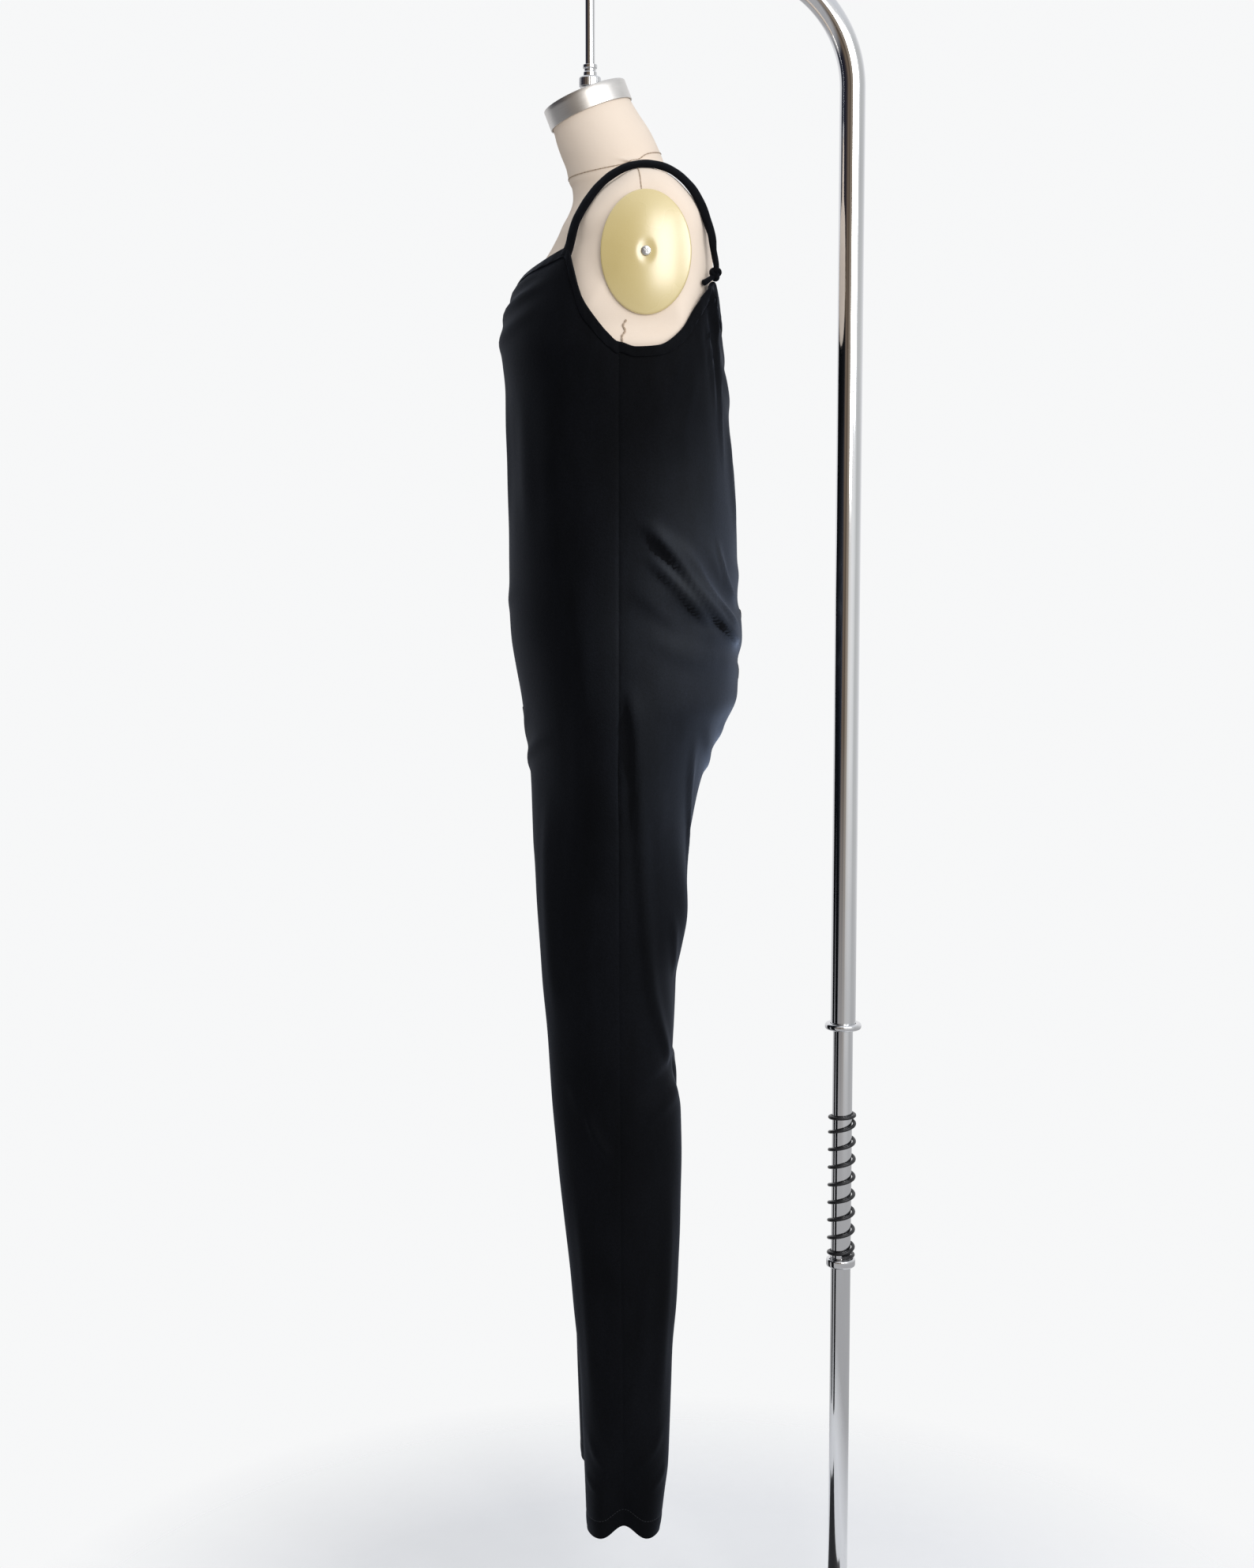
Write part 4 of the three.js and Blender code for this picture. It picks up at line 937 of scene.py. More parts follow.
def capsules(name, places, radius, material, **options):
    """One mesh of many small stitches, each from its middle, direction and half length."""
    points, quads, triangles = [], [], []
    for middle, along, half, normal in places:
        across = np.cross(along, normal)
        loops = []
        for t, r in ((-1, 0.35), (-0.7, 1), (0, 1.15), (0.7, 1), (1, 0.35)):
            a = 2 * math.pi * np.arange(6) / 6
            centre = middle + along * half * t + normal * radius * 0.5 * (1 - t * t)
            loops.append(centre + radius * r * (np.cos(a)[:, None] * across + np.sin(a)[:, None] * normal))
        p, (q, t) = loft(loops)
        q, t = outward(p, [q, t])
        start = sum(map(len, points))
        points.append(p)
        quads.append(q + start)
        triangles.append(t + start)
    return make(name, np.vstack(points), [np.vstack(quads), np.vstack(triangles)], material, **options)


def stitched(name, line, normals, step=3.2):
    """A row of stitches along a line of points, each a little sunk in the pile."""
    walked = np.concatenate([[0], np.cumsum(np.linalg.norm(np.diff(line, axis=0), axis=-1))])
    at = np.arange(step, walked[-1] - step, step)
    pick = lambda v, t: np.stack([np.interp(t, walked, v[:, k]) for k in range(3)], axis=-1)
    middle, out = pick(line, at), unit(pick(normals, at))
    along = unit(pick(line, at + 1) - pick(line, at - 1))
    out = unit(out - along * (out * along).sum(-1, keepdims=True))
    places = [(m, a, 0.36 * step, n) for m, a, n in zip(middle, along, out)]
    return capsules(name, places, 0.21, THREAD, slot="velvet", sharp=80)


def hem_line(word, up):
    """Points round a leg, up millimetres above the hem along the cloth, and their normals."""
    line, out = [], []
    for face, order in (("front", 1), ("back", -1)):
        outer, normals, u = edges[face, word]
        for j in (range(len(u)) if order > 0 else range(len(u) - 2, 0, -1)):
            climbed = np.concatenate([[0], np.cumsum(np.linalg.norm(np.diff(outer[:60, j], axis=0),
                                                                    axis=-1))])
            line.append([np.interp(up, climbed, outer[:60, j, k]) for k in range(3)])
            out.append([np.interp(up, climbed, normals[:60, j, k]) for k in range(3)])
    return np.array(line), np.array(out)


for word, side in SIDES.items():
    mirror = np.array([side, 1, 1])
    line, out = hem_line(word, HEM_TURN - 1.5)
    stitched(f"hem_stitches_{word}", line * mirror, out * mirror)

# ---------------------------------------------------------------- straps, knots
def tube(line, radius, sides=14, squeeze=(1, 1), out=(0, 0, 1), growth=None):
    """Loops of a round or flattened cord along a line of points."""
    line = np.asarray(line, float)
    along = unit(np.gradient(line, axis=0))
    reference = np.broadcast_to(np.array(out, float), line.shape)
    reference = unit(reference - along * (reference * along).sum(-1, keepdims=True))
    across = np.cross(along, reference)
    a = 2 * math.pi * np.arange(sides) / sides
    size = np.broadcast_to(radius, (len(line),)) if growth is None else radius * growth
    ca, sa = np.cos(a) * squeeze[0], np.sin(a) * squeeze[1]
    return (line[:, None] + size[:, None, None]
            * (ca[None, :, None] * across[:, None] + sa[None, :, None] * reference[:, None]))


STRAP = [[127, -117, 1606], [124, -113, 1617], [117.5, -105, 1645.5], [107.5, -84.5, 1678], [101.5, -61,
    1697],
         [99.5, -36, 1704], [102, -9.5, 1698], [107, 11.5, 1680.5], [112, 25, 1657], [114.5, 34, 1629],
         [112.5, 38.8, 1601], [111.5, 39, 1592]]
straps = {}
for word, side in SIDES.items():
    line = smooth_line(STRAP, 260)
    walked = np.concatenate([[0], np.cumsum(np.linalg.norm(np.diff(line, axis=0), axis=-1))])
    share = walked / walked[-1]
    along = unit(np.gradient(line, axis=0))
    out = line - np.array([32, -35, 1628])
    out = unit(out - along * (out * along).sum(-1, keepdims=True))
    across = np.cross(along, out)
    width = mix(5.7, 3.2, smooth((share - 0.78) / 0.2)) + 0.8 * smooth((0.05 - share) / 0.05)
    thick = mix(2.7, 2.5, smooth((share - 0.8) / 0.18))
    a = 2 * math.pi * np.arange(36) / 36
    ca = np.sign(np.cos(a)) * np.abs(np.cos(a)) ** 0.8
    sa = np.sign(np.sin(a)) * np.abs(np.sin(a)) ** 0.9
    crumple = smooth((share - 0.7) / 0.25)[:, None]
    fold = 1 + crumple * 0.16 * np.sin(3 * a[None, :] + walked[:, None] / 5) - 0.1 * bell((a[None,
        :] - 4.71) / 0.12)
    wave = 0.16 * np.sin(walked / 3.1) + 0.2 * np.sin(walked / 7.7)

    def strap_loops(shrunk):
        return (line[:, None] + across[:, None] * (ca[None] * fold * (width - shrunk)[:, None])[..., None]
                + out[:, None] * (sa[None] * fold * (thick + wave - shrunk)[:, None])[..., None])

    loops = np.concatenate([strap_loops(0.0), strap_loops(0.9)[::-1]]) * np.array([side, 1, 1])
    points, faces = loft(loops, wrap=True)
    walked = np.concatenate([walked, walked[::-1]])
    uv = np.stack(np.broadcast_arrays(a[None] * 4, walked[:, None]), axis=-1).reshape(-1, 2) / 1000
    straps[word] = make(f"shoulder_strap_{word}", points, outward(points, faces), VELVET, slot="velvet",
                        stands_for=[f"strap_{word}"], uv=uv, sharp=70)
    strip(f"strap_{word}", straps[word], strap_loops(0.45), ["linen_form"])
    SOFT_STRIPS[f"strap_{word}"] = (straps[word], 2 * SOFT_STRIPS[f"strap_{word}"][1],
                                    SOFT_STRIPS[f"strap_{word}"][2],
                                    ["linen_form"])

    t = np.linspace(0, 2 * math.pi, 121)[:-1]
    knot = np.stack([2.3 * np.sin(3 * t), -1.5 * (np.sin(t) + 2 * np.sin(2 * t)),
                     1.85 * (np.cos(t) - 2 * np.cos(2 * t))],
                    axis=-1)
    knot = knot + np.array([111.5, 38.5, 1589.5])
    ahead = unit(np.roll(knot, -1, axis=0) - np.roll(knot, 1, axis=0))
    outwards = knot - np.array([111.5, 38.5, 1589.5])
    outwards = unit(outwards - ahead * (outwards * ahead).sum(-1, keepdims=True))
    sideways = np.cross(ahead, outwards)
    b = 2 * math.pi * np.arange(14) / 14
    body = 3.0 * (1 + 0.1 * np.sin(5 * t))
    loops = knot[:, None] + body[:, None, None] * (np.cos(b)[None, :, None] * sideways[:, None]
                                                   + 0.82 * np.sin(b)[None, :, None] * outwards[:, None])
    loops = loops * np.array([side, 1, 1])
    tied = solid(f"tied_knot_{word}", loops, VELVET, wrap=True, slot="velvet", sharp=80,
                 stands_for=[f"strap_knot_{word}"])

    end = smooth_line([[112.5, 37, 1587], [116.5, 32.5, 1583.5], [120, 28.5, 1580.5], [121, 24.5, 1578.5]],
                      26)
    grow = np.concatenate([np.linspace(0.8, 1.0, 20), [1.05, 1.08, 1.02, 0.88, 0.6, 0.25]])
    loops = tube(end, 3.7, 18, (1, 0.85), (0, 0, 1), grow) * np.array([side, 1, 1])
    loose = solid(f"knot_end_{word}", loops, VELVET, slot="velvet", sharp=80,
                  stands_for=[f"strap_tail_{word}"])
    bindings[f"knot_{word}"], bindings[f"end_{word}"] = tied, loose

# ---------------------------------------------------------------- dress form
# height, middle, front, back, half width, fullness front, back, tilt, neck middle, neck depth, neck width
form = curve([
    [1038, -52, -105, -15, 95, 2.2, 2.2, 0, -52, 20, 20],
    [1043, -52, -132, -5, 135, 2.2, 2.2, 0, -52, 20, 20],
    [1056, -52, -148, 8, 154, 2.2, 2.2, 0, -52, 20, 20],
    [1080, -52, -155, 26, 162, 2.2, 2.2, 0, -52, 20, 20],
    [1110, -52, -158, 43, 165.5, 2.2, 2.2, 0, -52, 20, 20],
    [1143, -52, -162, 56, 167, 2.2, 2.2, 0, -52, 20, 20],
    [1178, -52, -167, 55, 165, 2.2, 2.2, 0, -52, 20, 20],
    [1213, -52, -168, 50, 159, 2.2, 2.2, 0, -52, 20, 20],
    [1260, -52, -158, 38, 144, 2.2, 2.2, 0, -52, 20, 20],
    [1310, -52, -149, 30, 131, 2.2, 2.3, 0, -52, 20, 20],
    [1350, -52, -147, 28, 127, 2.2, 2.3, 0, -52, 20, 20],
    [1400, -52, -156, 33, 133, 2.2, 2.4, 0, -52, 20, 20],
    [1450, -50, -173, 39, 146, 2.25, 2.5, 0, -52, 20, 20],
    [1500, -48, -182, 42, 158, 2.3, 2.7, 0, -50, 20, 20],
    [1525, -46, -182.5, 41, 157, 2.3, 2.9, 0, -50, 20, 20],
    [1558, -43, -175, 40, 150, 2.3, 3.1, 0, -50, 30, 30],
    [1590, -40, -159, 39.5, 144.5, 2.3, 3.3, 0, -50, 45, 40],
    [1620, -38, -139, 38, 142, 2.3, 3.5, 0, -50, 58, 50],
    [1651, -38, -118, 31, 138, 2.8, 4.2, 0, -51, 66, 56],
    [1665, -38, -106, 23, 135, 2.8, 4.2, 0, -52, 62, 57],
    [1676, -38, -95, 14, 130, 2.7, 4.2, 0, -53, 59, 57],
    [1693, -38, -69, -2, 116, 2.5, 3.6, 0, -57, 56, 56],
    [1702, -38, -56, -18, 93, 2.4, 2.6, 2, -61, 55, 55],
    [1711, -42, -52, -28, 68, 2.3, 2.3, 5, -64, 53.5, 54.5],
    [1722, -68, -80, -50, 30, 2.2, 2.2, 8, -68, 52, 54],
    [1742, -77, -90, -60, 30, 2.2, 2.2, 14.5, -77, 50, 51],
    [1757, -85, -98, -70, 30, 2.2, 2.2, 18.5, -85, 47.2, 48],
    [1770, -91, -104, -80, 30, 2.2, 2.2, 21.5, -91, 45, 45],
    [1782, -95.7, -104, -80, 30, 2.2, 2.2, 21.5, -95.7, 44.6, 44.6],
])


def plate_flat(z):
    return 141.5 + (1604 - z) * 0.05


def form_point(z, angle):
    middle, front, back, width, front_full, back_full, tilt, neck_y, neck_depth, neck_width = form(z)
    ahead = np.cos(angle) < 0
    tx, ty = oval(np.abs(np.where(ahead, front, back) - middle), width, np.where(ahead, front_full,
        back_full), angle)
    s, c = np.sin(angle) / neck_width, np.cos(angle) / neck_depth
    shift = (neck_y - middle) / neck_depth
    a, b, d = s * s + c * c, -2 * c * shift, shift * shift - 1
    root = b * b - 4 * a * d
    neck = np.where(root > 0, np.maximum(0, (-b + np.sqrt(np.maximum(root, 0))) / (2 * a)), 0)
    r = (np.hypot(tx, ty) ** 8 + neck**8) ** 0.125
    q, t = r * np.cos(angle), np.radians(tilt)
    x = r * np.sin(angle)
    limit = np.where(z > 1680, 1e9, plate_flat(z) + 60 * smooth((1539 - z) / 80))
    return np.stack([np.sign(x) * np.minimum(np.abs(x), limit), middle + q * np.cos(t), z + q * np.sin(t)],
                    axis=-1)


rows = np.concatenate([np.linspace(1038, 1056, 10)[:-1], np.linspace(1056, 1640, 130)[:-1], np.linspace(1640,
    1782, 80)])
angles = 2 * math.pi * (np.arange(180) + 0.5) / 180
loops = form_point(rows[:, None], np.broadcast_to(angles, (len(rows), len(angles))))
torso = solid("linen_form", loops, LINEN, slot="linen", stands_for=["form_torso"], sharp=50)


def on_form(points, lift=0.0, sink=0.0):
    """Points on the form's surface from [angle in degrees from the back, height] rows."""
    p = smooth_line(points, 14 * len(points))
    at = form_point(p[:, 1], np.radians(p[:, 0]))
    centre = form_point(p[:, 1], np.radians(p[:, 0] + 0.5)) - form_point(p[:, 1], np.radians(p[:, 0] - 0.5))
    upward = form_point(p[:, 1] + 0.7, np.radians(p[:, 0])) - form_point(p[:, 1] - 0.7, np.radians(p[:, 0]))
    normal = unit(np.cross(upward, centre))
    normal *= np.sign((normal[:, :2] * (at[:, :2] - np.array([0, -50]))).sum(-1))[:, None]
    return at + normal * (lift - sink), normal


def seam(name, points, width=0.55):
    """A sewn line on the form: a thin cord just proud of the linen."""
    line, normal = on_form(points, lift=width + 0.12)
    along = unit(np.gradient(line, axis=0))
    across = np.cross(along, normal)
    a = 2 * math.pi * np.arange(8) / 8
    walked = np.concatenate([[0], np.cumsum(np.linalg.norm(np.diff(line, axis=0), axis=-1))])
    swell = width * (1 + 0.22 * np.sin(walked / 0.8))
    loops = line[:, None] + (np.cos(a)[None, :, None] * across[:, None] * 1.25
                             + np.sin(a)[None, :, None] * normal[:, None] * 0.8) * swell[:, None, None]
    return solid(name, loops, SEAM, slot="linen", sharp=80)


for word, side in SIDES.items():
    seam(f"shoulder_seam_{word}", [[side * a, z] for a, z in
                                   ((94, 1709), (93, 1703), (92, 1697), (91, 1688), (90.5, 1678), (90,
                                       1670))], 0.4)
    seam(f"side_seam_{word}", [[side * a, z] for a, z in
                               ((93.5, 1539), (94.5, 1533), (93.5, 1527), (94.5, 1521), (94, 1514))], 0.75)
seam("neck_seam", [[-178, 1709], [-150, 1709], [-125, 1710.5], [-100, 1713], [-75, 1716], [-50, 1720], [-25,
    1722],
                   [0, 1723], [25, 1722], [50, 1720], [75, 1716], [100, 1713], [125, 1710.5], [150, 1709],
                   [178, 1709]], 0.4)

# ---------------------------------------------------------------- arm plates and their screws
PLATE_Z = 1608
for word, side in SIDES.items():
    steps = [(1.0, 0.0), (1.0, 1.6), (0.996, 2.5), (0.985, 3.2)]
    steps += [(s,
               3.2 + 7.9 * (1 - (s / 0.985) ** 2.1) - 1.2 * bell((s / 0.17) ** 1.6)) for s in np.linspace(0.965, 0.02, 54)]
    loops = [ring_of(s, 120, lambda a, b, o=o: np.stack(
        [plate_flat(PLATE_Z + 64 * b) + 0.3 + o, -34 + 47 * a, PLATE_Z + 64 * b], axis=-1)) for s, o in steps]
    loops = np.array(loops) * np.array([side, 1, 1])
    solid(f"arm_cover_{word}", loops, CREAM, slot="cream_plate", sharp=50, stands_for=[f"arm_plate_{word}"])
    # screw head: rim, dome and a cross-shaped recess
    radii = np.concatenate([[5.0, 5.0, 4.85, 4.6], np.linspace(4.4, 0.15, 20)])
    lift = np.concatenate([[10.3, 11.9, 12.35, 12.6], 12.7 + 0.5 * (1 - (np.linspace(4.4, 0.15,
        20) / 4.4) ** 2)])
    a = 2 * math.pi * np.arange(72) / 72
    yy, zz = radii[:, None] * np.cos(a), radii[:, None] * np.sin(a)
    turn = math.radians(38)
    p, q = yy * math.cos(turn) + zz * math.sin(turn), -yy * math.sin(turn) + zz * math.cos(turn)
    arm = np.maximum(bell((np.abs(p) / 0.62) ** 2) * (np.abs(q) < 2.9),
                     bell((np.abs(q) / 0.62) ** 2) * (np.abs(p) < 2.9))
    height = lift[:, None] - 1.1 * arm * (radii[:, None] < 4.3)
    loops = np.stack([plate_flat(PLATE_Z) + 0.3 + height, -34 + yy, PLATE_Z + zz], axis=-1) * np.array([side,
        1, 1])
    solid(f"cross_screw_{word}", loops, SCREW, slot="brushed_steel", sharp=30,
          stands_for=[f"plate_screw_{word}"])

# ---------------------------------------------------------------- neck cap
TILT = math.radians(21.5)


def on_cap(radius, up, sides=160):
    return ring_of(radius, sides, lambda a, b: np.stack([
        a, -95.8 + b * math.cos(TILT) - up * math.sin(TILT),
                                                         1781.9 + b * math.sin(TILT) + up * math.cos(TILT)],
                                                        axis=-1))


steps = [(0.5, 8.2), (20, 8.2), (45.2, 8.2), (45.5, 8), (45.5, -4), (45.5, -10.8), (45.8, -11), (46.7, -11),
         (47, -10.7),
         (47, -5), (47, 0), (47, 5), (47, 9.8), (46.8, 10.6), (46.2, 11), (44, 11), (30, 11.05), (15, 11.1),
         (0.5, 11.1)]
solid("brushed_neck_cup", [on_cap(r, up) for r, up in steps], BRUSHED, slot="brushed_steel", sharp=35,
      stands_for=["neck_cap"])

# ---------------------------------------------------------------- stand
ROD_Y, POLE_Y = -93.5, 191
place = upright(ROD_Y)
solid("hanging_rod", [place(r, z, 48) for r, z in ((5, 1797.6), (5.3, 1798.2), (5.3, 1850), (5.3, 1919.2))],
      CHROME,
      slot="chrome", sharp=40, stands_for=["hanger_rod"])
loops = []
for r, z in rounded([[5.6, 1800.5], [10, 1800.5], [12, 1802], [12, 1811], [10.5, 1812.5], [5.6, 1812.5]],
                    0.7):
    a = 2 * math.pi * np.arange(144) / 144
    knurl = r - 0.28 * (r > 11.2) * (0.5 + 0.5 * np.cos(36 * a))
    loops.append(np.stack([knurl * np.cos(a), ROD_Y + knurl * np.sin(a), np.full_like(a, z)], axis=-1))
solid("knurled_swivel", loops, CHROME, wrap=True, slot="chrome", sharp=40, stands_for=["swivel_nut"])
turned_ring("neck_locknut", [[5.6, 1813], [7.6, 1813], [7.6, 1817], [6.6, 1818], [6.6, 1820.5], [8, 1821.5],
                             [8, 1825], [5.6, 1825]], ROD_Y, CHROME, slot="chrome", stands_for=["lock_nut"])
loops = []
for r, z in rounded([[5.6, 1906], [11, 1906], [11, 1919], [5.6, 1919]], 0.8):
    a = 2 * math.pi * np.arange(96) / 96
    six = r if r < 8 else r * (0.905 / np.maximum(0.905, np.cos((a % (math.pi / 3)) - math.pi / 6)))
    six = np.broadcast_to(six, a.shape)
    loops.append(np.stack([six * np.cos(a), ROD_Y + six * np.sin(a), np.full_like(a, z)], axis=-1))
solid("arm_hex_nut", loops, CHROME, wrap=True, slot="chrome", sharp=30, stands_for=["arm_nut"])

stations = [(POLE_Y, z, 0.0) for z in np.linspace(770, 1800, 24)]
stations += [(POLE_Y - 134 * (1 - math.cos(a)), 1800 + 134 * math.sin(a), a)
             for a in np.linspace(0, math.pi / 2, 41)[1:]]
stations += [(y, 1934, math.pi / 2) for y in np.linspace(POLE_Y - 134, -128, 8)[1:]]


def bent(radius):
    return [ring_of(radius, 72, lambda p, q, s=s: np.stack(
        [p, s[0] + q * math.cos(s[2]), s[1] + q * math.sin(s[2])], axis=-1)) for s in stations]


solid("bent_outer_tube", bent(14) + bent(11.8)[::-1], CHROME, wrap=True, slot="chrome", sharp=40,
      stands_for=["outer_tube"])
turned_ring("foot_collar", [[14.4, 765], [19, 765], [20.5, 766.5], [20.5, 770.5], [19, 772], [14.4, 772]],
            POLE_Y,
            CHROME, slot="chrome", stands_for=["tube_collar"], radius=1.2)
caps = [(14, 0.3), (14, 2.4), (13.6, 3.4)] + [(14 * math.cos(a),
                                               3.4 + 4.1 * math.sin(a)) for a in np.linspace(0.25, 1.52, 14)]
solid("arm_end_plug", [ring_of(r, 72, lambda a, b, o=o: np.stack(
    [a, np.full_like(a, -128 - o), 1934 + b], axis=-1)) for r, o in caps], CHROME, slot="chrome", sharp=40,
    stands_for=["arm_end_cap"])
turned_ring("inner_chrome_pole", [[9.4, 8.3], [11.2, 8.3], [11.2, 600], [11.2, 1320], [9.4, 1320]], POLE_Y,
            CHROME,
            body="stand_base", slot="chrome", stands_for=["inner_pole"], sides=72)
turned_ring("spring_stop", [[11.6, 489], [15, 489], [16.5, 490.5], [16.5, 497.5], [15, 499], [11.6, 499]],
            POLE_Y,
            CHROME, body="stand_base", slot="chrome", stands_for=["stop_ring"], radius=1.0)

# spring with its end turns closed up
turns, per_turn = 9.5, 48
count = int(turns * per_turn)
turn = np.arange(count + 1) / per_turn
pitch = curve([[0, 502.2], [1, 507], [turns - 1, 661], [turns, 665.8]])
level = np.where((turn < 1) | (turn > turns - 1), pitch(turn)[0], mix(507, 661, (turn - 1) / (turns - 2)))
angle = 2 * math.pi * turn
wire = 2 * math.pi * np.arange(16) / 16
radius = 14 + 2 * np.cos(wire)
loops = np.stack([radius[None] * np.cos(angle)[:, None], POLE_Y + radius[None] * np.sin(angle)[:, None],
                  level[:, None] + 2 * np.sin(wire)[None] * np.ones((len(angle), 1))], axis=-1)
solid("black_spring", loops, IRON, body="stand_base", slot="black_steel", sharp=50, stands_for=["spring"])

# base plate with a soft edge, and the socket of the pole
corner, half_x, half_y = 45, 230, 280


def plate_loop(grow, z):
    loop = []
    for k, (sx, sy) in enumerate(((1, 1), (-1, 1), (-1, -1), (1, -1))):
        for t in np.linspace(0, 1, 13):
            a = math.pi / 2 * (k + t)
            loop.append([sx * (half_x - corner) + (corner + grow) * math.cos(a),
                         sy * (half_y - corner) + (corner + grow) * math.sin(a), z])
    return loop


steps = [(-1, 0), (-0.4, 0.15), (0, 0.8), (0, 6.5), (-0.35, 7.4), (-1.1, 7.9), (-2, 8), (-12, 8), (-30, 8)]
solid("stand_foot_plate", [plate_loop(g, z) for g, z in steps], BASE, body="stand_base", slot="black_steel",
      sharp=40, stands_for=["base_plate"])
turned_ring("pole_foot_socket", [[11.6, 8.3], [27, 8.3], [27, 13], [25.5, 14.5], [17.5, 22], [16.8, 30],
                                 [16.5, 55],
                                 [15, 57], [11.6, 57]], POLE_Y, CHROME, body="stand_base", slot="chrome",
            stands_for=["pole_socket"], radius=1.6)

# ---------------------------------------------------------------- floor, light, camera
scene = bpy.context.scene


def floor_material():
    p = Paint("pale_floor", Roughness=0.85, Specular_IOR_Level=0.15)
    where = p.node("ShaderNodeTexCoord")
    away = p.node("ShaderNodeVectorMath", operation="LENGTH")
    p.join(where.outputs["Object"], away.inputs[0])
    speck = p.noise(where.outputs["Object"], 30, 3.0)
    tone = p.ramp(speck, [(0.3, (0.955, 0.96, 0.965)), (0.7, (0.965, 0.97, 0.975))])
    clear = p.node("ShaderNodeBsdfTransparent")
    mixed = p.node("ShaderNodeMixShader")
    p.join(p.ramp(p.math("MULTIPLY", away.outputs["Value"], 1.0), [(0.48, (0, 0, 0)), (0.86, (1, 1, 1))]),
           mixed.inputs[0])
    p.join(p.shader.outputs[0], mixed.inputs[1])
    p.join(clear.outputs[0], mixed.inputs[2])
    output = next(n for n in p.tree.nodes if n.type == "OUTPUT_MATERIAL")
    p.join(mixed.outputs[0], output.inputs["Surface"])
    return p.set(Base_Color=tone, Normal=p.bump(speck, 0.02, 0.001))


floor_mesh = bpy.data.meshes.new("floor")
rings = [(0.0, 1)] + [(r, 64) for r in (0.3, 0.6, 0.8, 0.95)]
points = [[0, 0, 0]]
for r, n in rings[1:]:
    points += [[r * math.cos(2 * math.pi * k / n), r * math.sin(2 * math.pi * k / n), 0] for k in range(n)]
faces = [[0, 1 + k, 1 + (k + 1) % 64] for k in range(64)]
for ring in range(3):
    for k in range(64):
        a, b = 1 + ring * 64 + k, 1 + ring * 64 + (k + 1) % 64
        faces.append([a, a + 64, b + 64, b])
floor_mesh.from_pydata(points, [], faces)
floor_mesh.materials.append(floor_material())
floor = bpy.data.objects.new("floor", floor_mesh)
scene.collection.objects.link(floor)
floor.location = (0, 0, cad_low.z - 0.0005)

# The room: plain and pale to look at, and with darker, warmer and brighter sides to light and
# reflect in the object.
world = bpy.data.worlds.new("pale_room")
scene.world = world
world.use_nodes = True
tree = world.node_tree
plain = tree.nodes["Background"]
plain.inputs["Color"].default_value = (0.93, 0.935, 0.94, 1)
plain.inputs["Strength"].default_value = 1.0
room = tree.nodes.new("ShaderNodeBackground")
room.inputs["Strength"].default_value = 1.0
where = tree.nodes.new("ShaderNodeTexCoord")
parts = tree.nodes.new("ShaderNodeSeparateXYZ")
tree.links.new(where.outputs["Generated"], parts.inputs[0])
turned = tree.nodes.new("ShaderNodeMath")
turned.operation = "ARCTAN2"
tree.links.new(parts.outputs["Y"], turned.inputs[0])
tree.links.new(parts.outputs["X"], turned.inputs[1])
share = tree.nodes.new("ShaderNodeMapRange")
share.inputs["From Min"].default_value = -math.pi
share.inputs["From Max"].default_value = math.pi
tree.links.new(turned.outputs[0], share.inputs["Value"])


def ramp_of(source, stops):
    node = tree.nodes.new("ShaderNodeValToRGB")
    while len(node.color_ramp.elements) < len(stops):
        node.color_ramp.elements.new(0.5)
    for element, (position, colour) in zip(node.color_ramp.elements, stops):
        element.position = position
        element.color = (*colour, 1)
    tree.links.new(source, node.inputs["Fac"])
    return node.outputs["Color"]


def turn_at(degrees):
    return (degrees + 180) / 360


around = ramp_of(share.outputs[0], [(turn_at(d), c) for d, c in (
    (-180, (0.95, 0.95, 0.96)), (-126, (0.9, 0.9, 0.92)), (-114, (0.03, 0.034, 0.05)), (-80, (0.014, 0.016,
        0.03)),
    (-58, (0.035, 0.03, 0.035)), (-38, (0.2, 0.15, 0.11)), (-26, (0.1, 0.075, 0.055)), (-12, (0.36, 0.3,
        0.24)),
    (-4, (0.3, 0.25, 0.2)), (8, (0.86, 0.84, 0.81)), (30, (1.0, 1.0, 1.0)), (52, (0.9, 0.91, 0.91)),
    (72, (0.62, 0.63, 0.63)), (104, (0.7, 0.71, 0.71)), (140, (0.95, 0.95, 0.97)), (180, (0.95, 0.95,
        0.96)))])
soft = ramp_of(share.outputs[0], [(turn_at(d), c) for d, c in (
    (-180, (0.16, 0.17, 0.19)), (-120, (0.22, 0.22, 0.23)), (-80, (0.3, 0.29, 0.28)), (-20, (0.46, 0.44,
        0.42)),
    (30, (0.66, 0.65, 0.64)), (90, (0.46, 0.47, 0.49)), (130, (0.26, 0.27, 0.29)), (180, (0.16, 0.17,
        0.19)))])
path = tree.nodes.new("ShaderNodeLightPath")
sides = tree.nodes.new("ShaderNodeMix")
sides.data_type = "RGBA"
tree.links.new(path.outputs["Is Glossy Ray"], sides.inputs[0])
tree.links.new(soft, sides.inputs[6])
tree.links.new(around, sides.inputs[7])
height = tree.nodes.new("ShaderNodeMapRange")
height.inputs["From Min"].default_value = -1
tree.links.new(parts.outputs["Z"], height.inputs["Value"])
lids = ramp_of(height.outputs[0], [(0.0, (1, 1, 1)), (0.36, (1, 1, 1)), (0.46, (0, 0, 0)), (0.72, (0, 0, 0)),
                                   (0.86, (1, 1, 1)), (1.0, (1, 1, 1))])
flats = ramp_of(height.outputs[0], [(0.0, (0.5, 0.5, 0.51)), (0.45, (0.5, 0.5, 0.51)), (0.55, (0.86, 0.88,
    0.92)),
                                    (1.0, (0.86, 0.88, 0.92))])
both = tree.nodes.new("ShaderNodeMix")
both.data_type = "RGBA"
tree.links.new(lids, both.inputs[0])
tree.links.new(sides.outputs[2], both.inputs[6])
tree.links.new(flats, both.inputs[7])
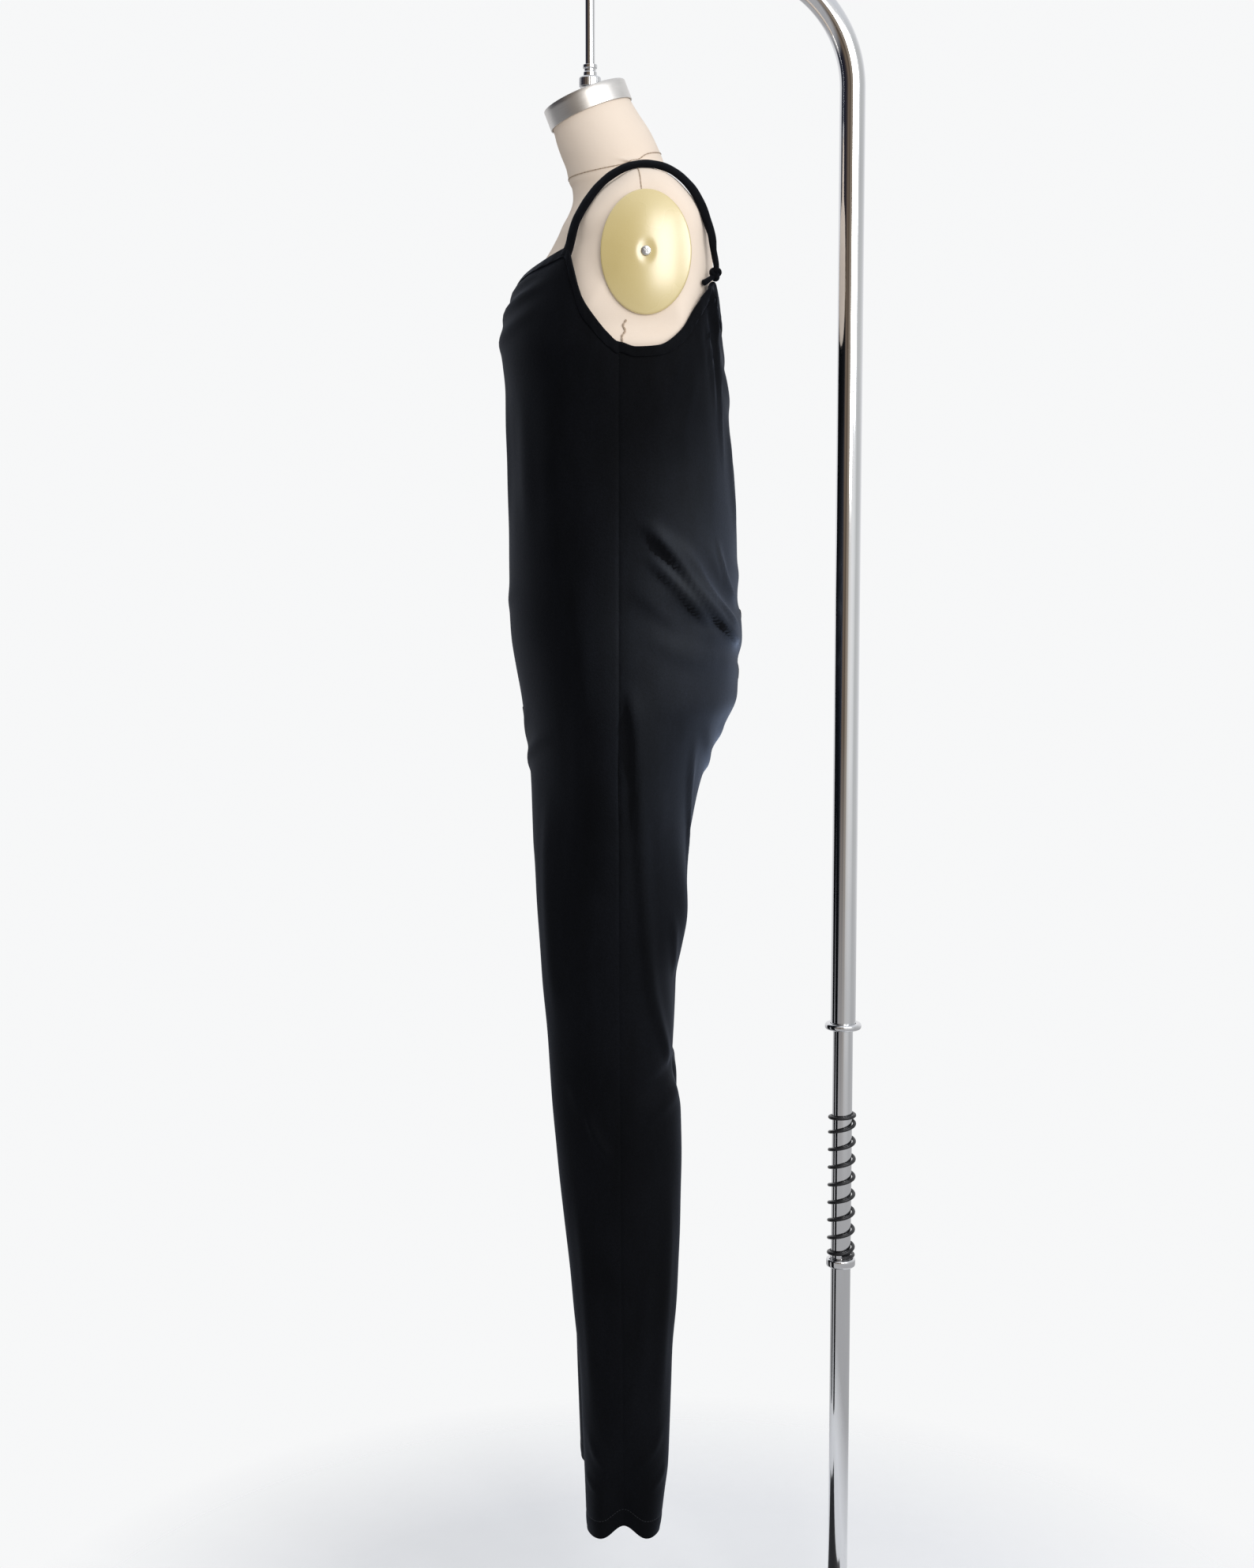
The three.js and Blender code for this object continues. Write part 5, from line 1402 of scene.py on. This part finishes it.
tree.links.new(both.outputs[2], room.inputs["Color"])
chosen = tree.nodes.new("ShaderNodeMixShader")
tree.links.new(path.outputs["Is Camera Ray"], chosen.inputs[0])
tree.links.new(room.outputs[0], chosen.inputs[1])
tree.links.new(plain.outputs[0], chosen.inputs[2])
tree.links.new(chosen.outputs[0], tree.nodes["World Output"].inputs["Surface"])


def softbox(name, at, towards, size, energy, colour=(1, 1, 1)):
    data = bpy.data.lights.new(name, "AREA")
    data.shape = "RECTANGLE"
    data.size, data.size_y = size
    data.energy = energy
    data.color = colour
    lamp = bpy.data.objects.new(name, data)
    scene.collection.objects.link(lamp)
    lamp.location = at
    lamp.rotation_euler = (Vector(towards) - Vector(at)).to_track_quat("-Z", "Y").to_euler()
    return lamp


softbox("window_right", (1.8, 1.75, 2.3), (0, 0, 1.2), (0.9, 1.5), 20, (0.96, 0.97, 1.0))
softbox("fill_front", (2.6, 0.7, 2.2), (0, 0, 1.3), (1.0, 1.6), 24, (1.0, 0.985, 0.96))


def beam(name, at, towards, energy, cone, size):
    """A narrow soft light on one part of the cloth."""
    data = bpy.data.lights.new(name, "SPOT")
    data.energy, data.spot_size, data.spot_blend, data.shadow_soft_size = energy, math.radians(cone), 1.0, size
    data.color = (0.86, 0.93, 1.0)
    lamp = bpy.data.objects.new(name, data)
    scene.collection.objects.link(lamp)
    lamp.location = at
    lamp.rotation_euler = (Vector(towards) - Vector(at)).to_track_quat("-Z", "Y").to_euler()


beam("gleam_on_seat", (0.75, 1.6, 2.8), (0.12, 0.06, 1.24), 1250, 9, 0.08)
beam("gleam_on_leg", (1.7, 1.3, 2.0), (0.12, 0.0, 0.95), 60, 16, 0.14)


camera_data = bpy.data.cameras.new("photo_camera")
camera_data.sensor_fit = "VERTICAL"
camera_data.sensor_height = 36
camera_data.lens = 36 * 2800 / 1985
camera = bpy.data.objects.new("photo_camera", camera_data)
scene.collection.objects.link(camera)
camera.location = (2.46, -0.0535, 1.30)
camera.rotation_euler = (math.radians(90 - 5.96), 0, math.radians(90))
scene.camera = camera
scene.view_settings.view_transform = "Standard"

# ---------------------------------------------------------------- sizes of the velvet panels, measured and left unused
def measured(points):
    """Width, length and area of a grid of points, row by row, in metres."""
    across = np.linalg.norm(np.diff(points, axis=1), axis=-1).sum(1)
    upward = np.linalg.norm(np.diff(points, axis=0), axis=-1).sum(0)
    return across.max() / 1000, upward.max() / 1000, surface(points) / 1e6


for (face, word), (outer, normals, u) in edges.items():
    width, length, area = measured(outer)
for name, (piece, width, length, on) in SOFT_STRIPS.items():
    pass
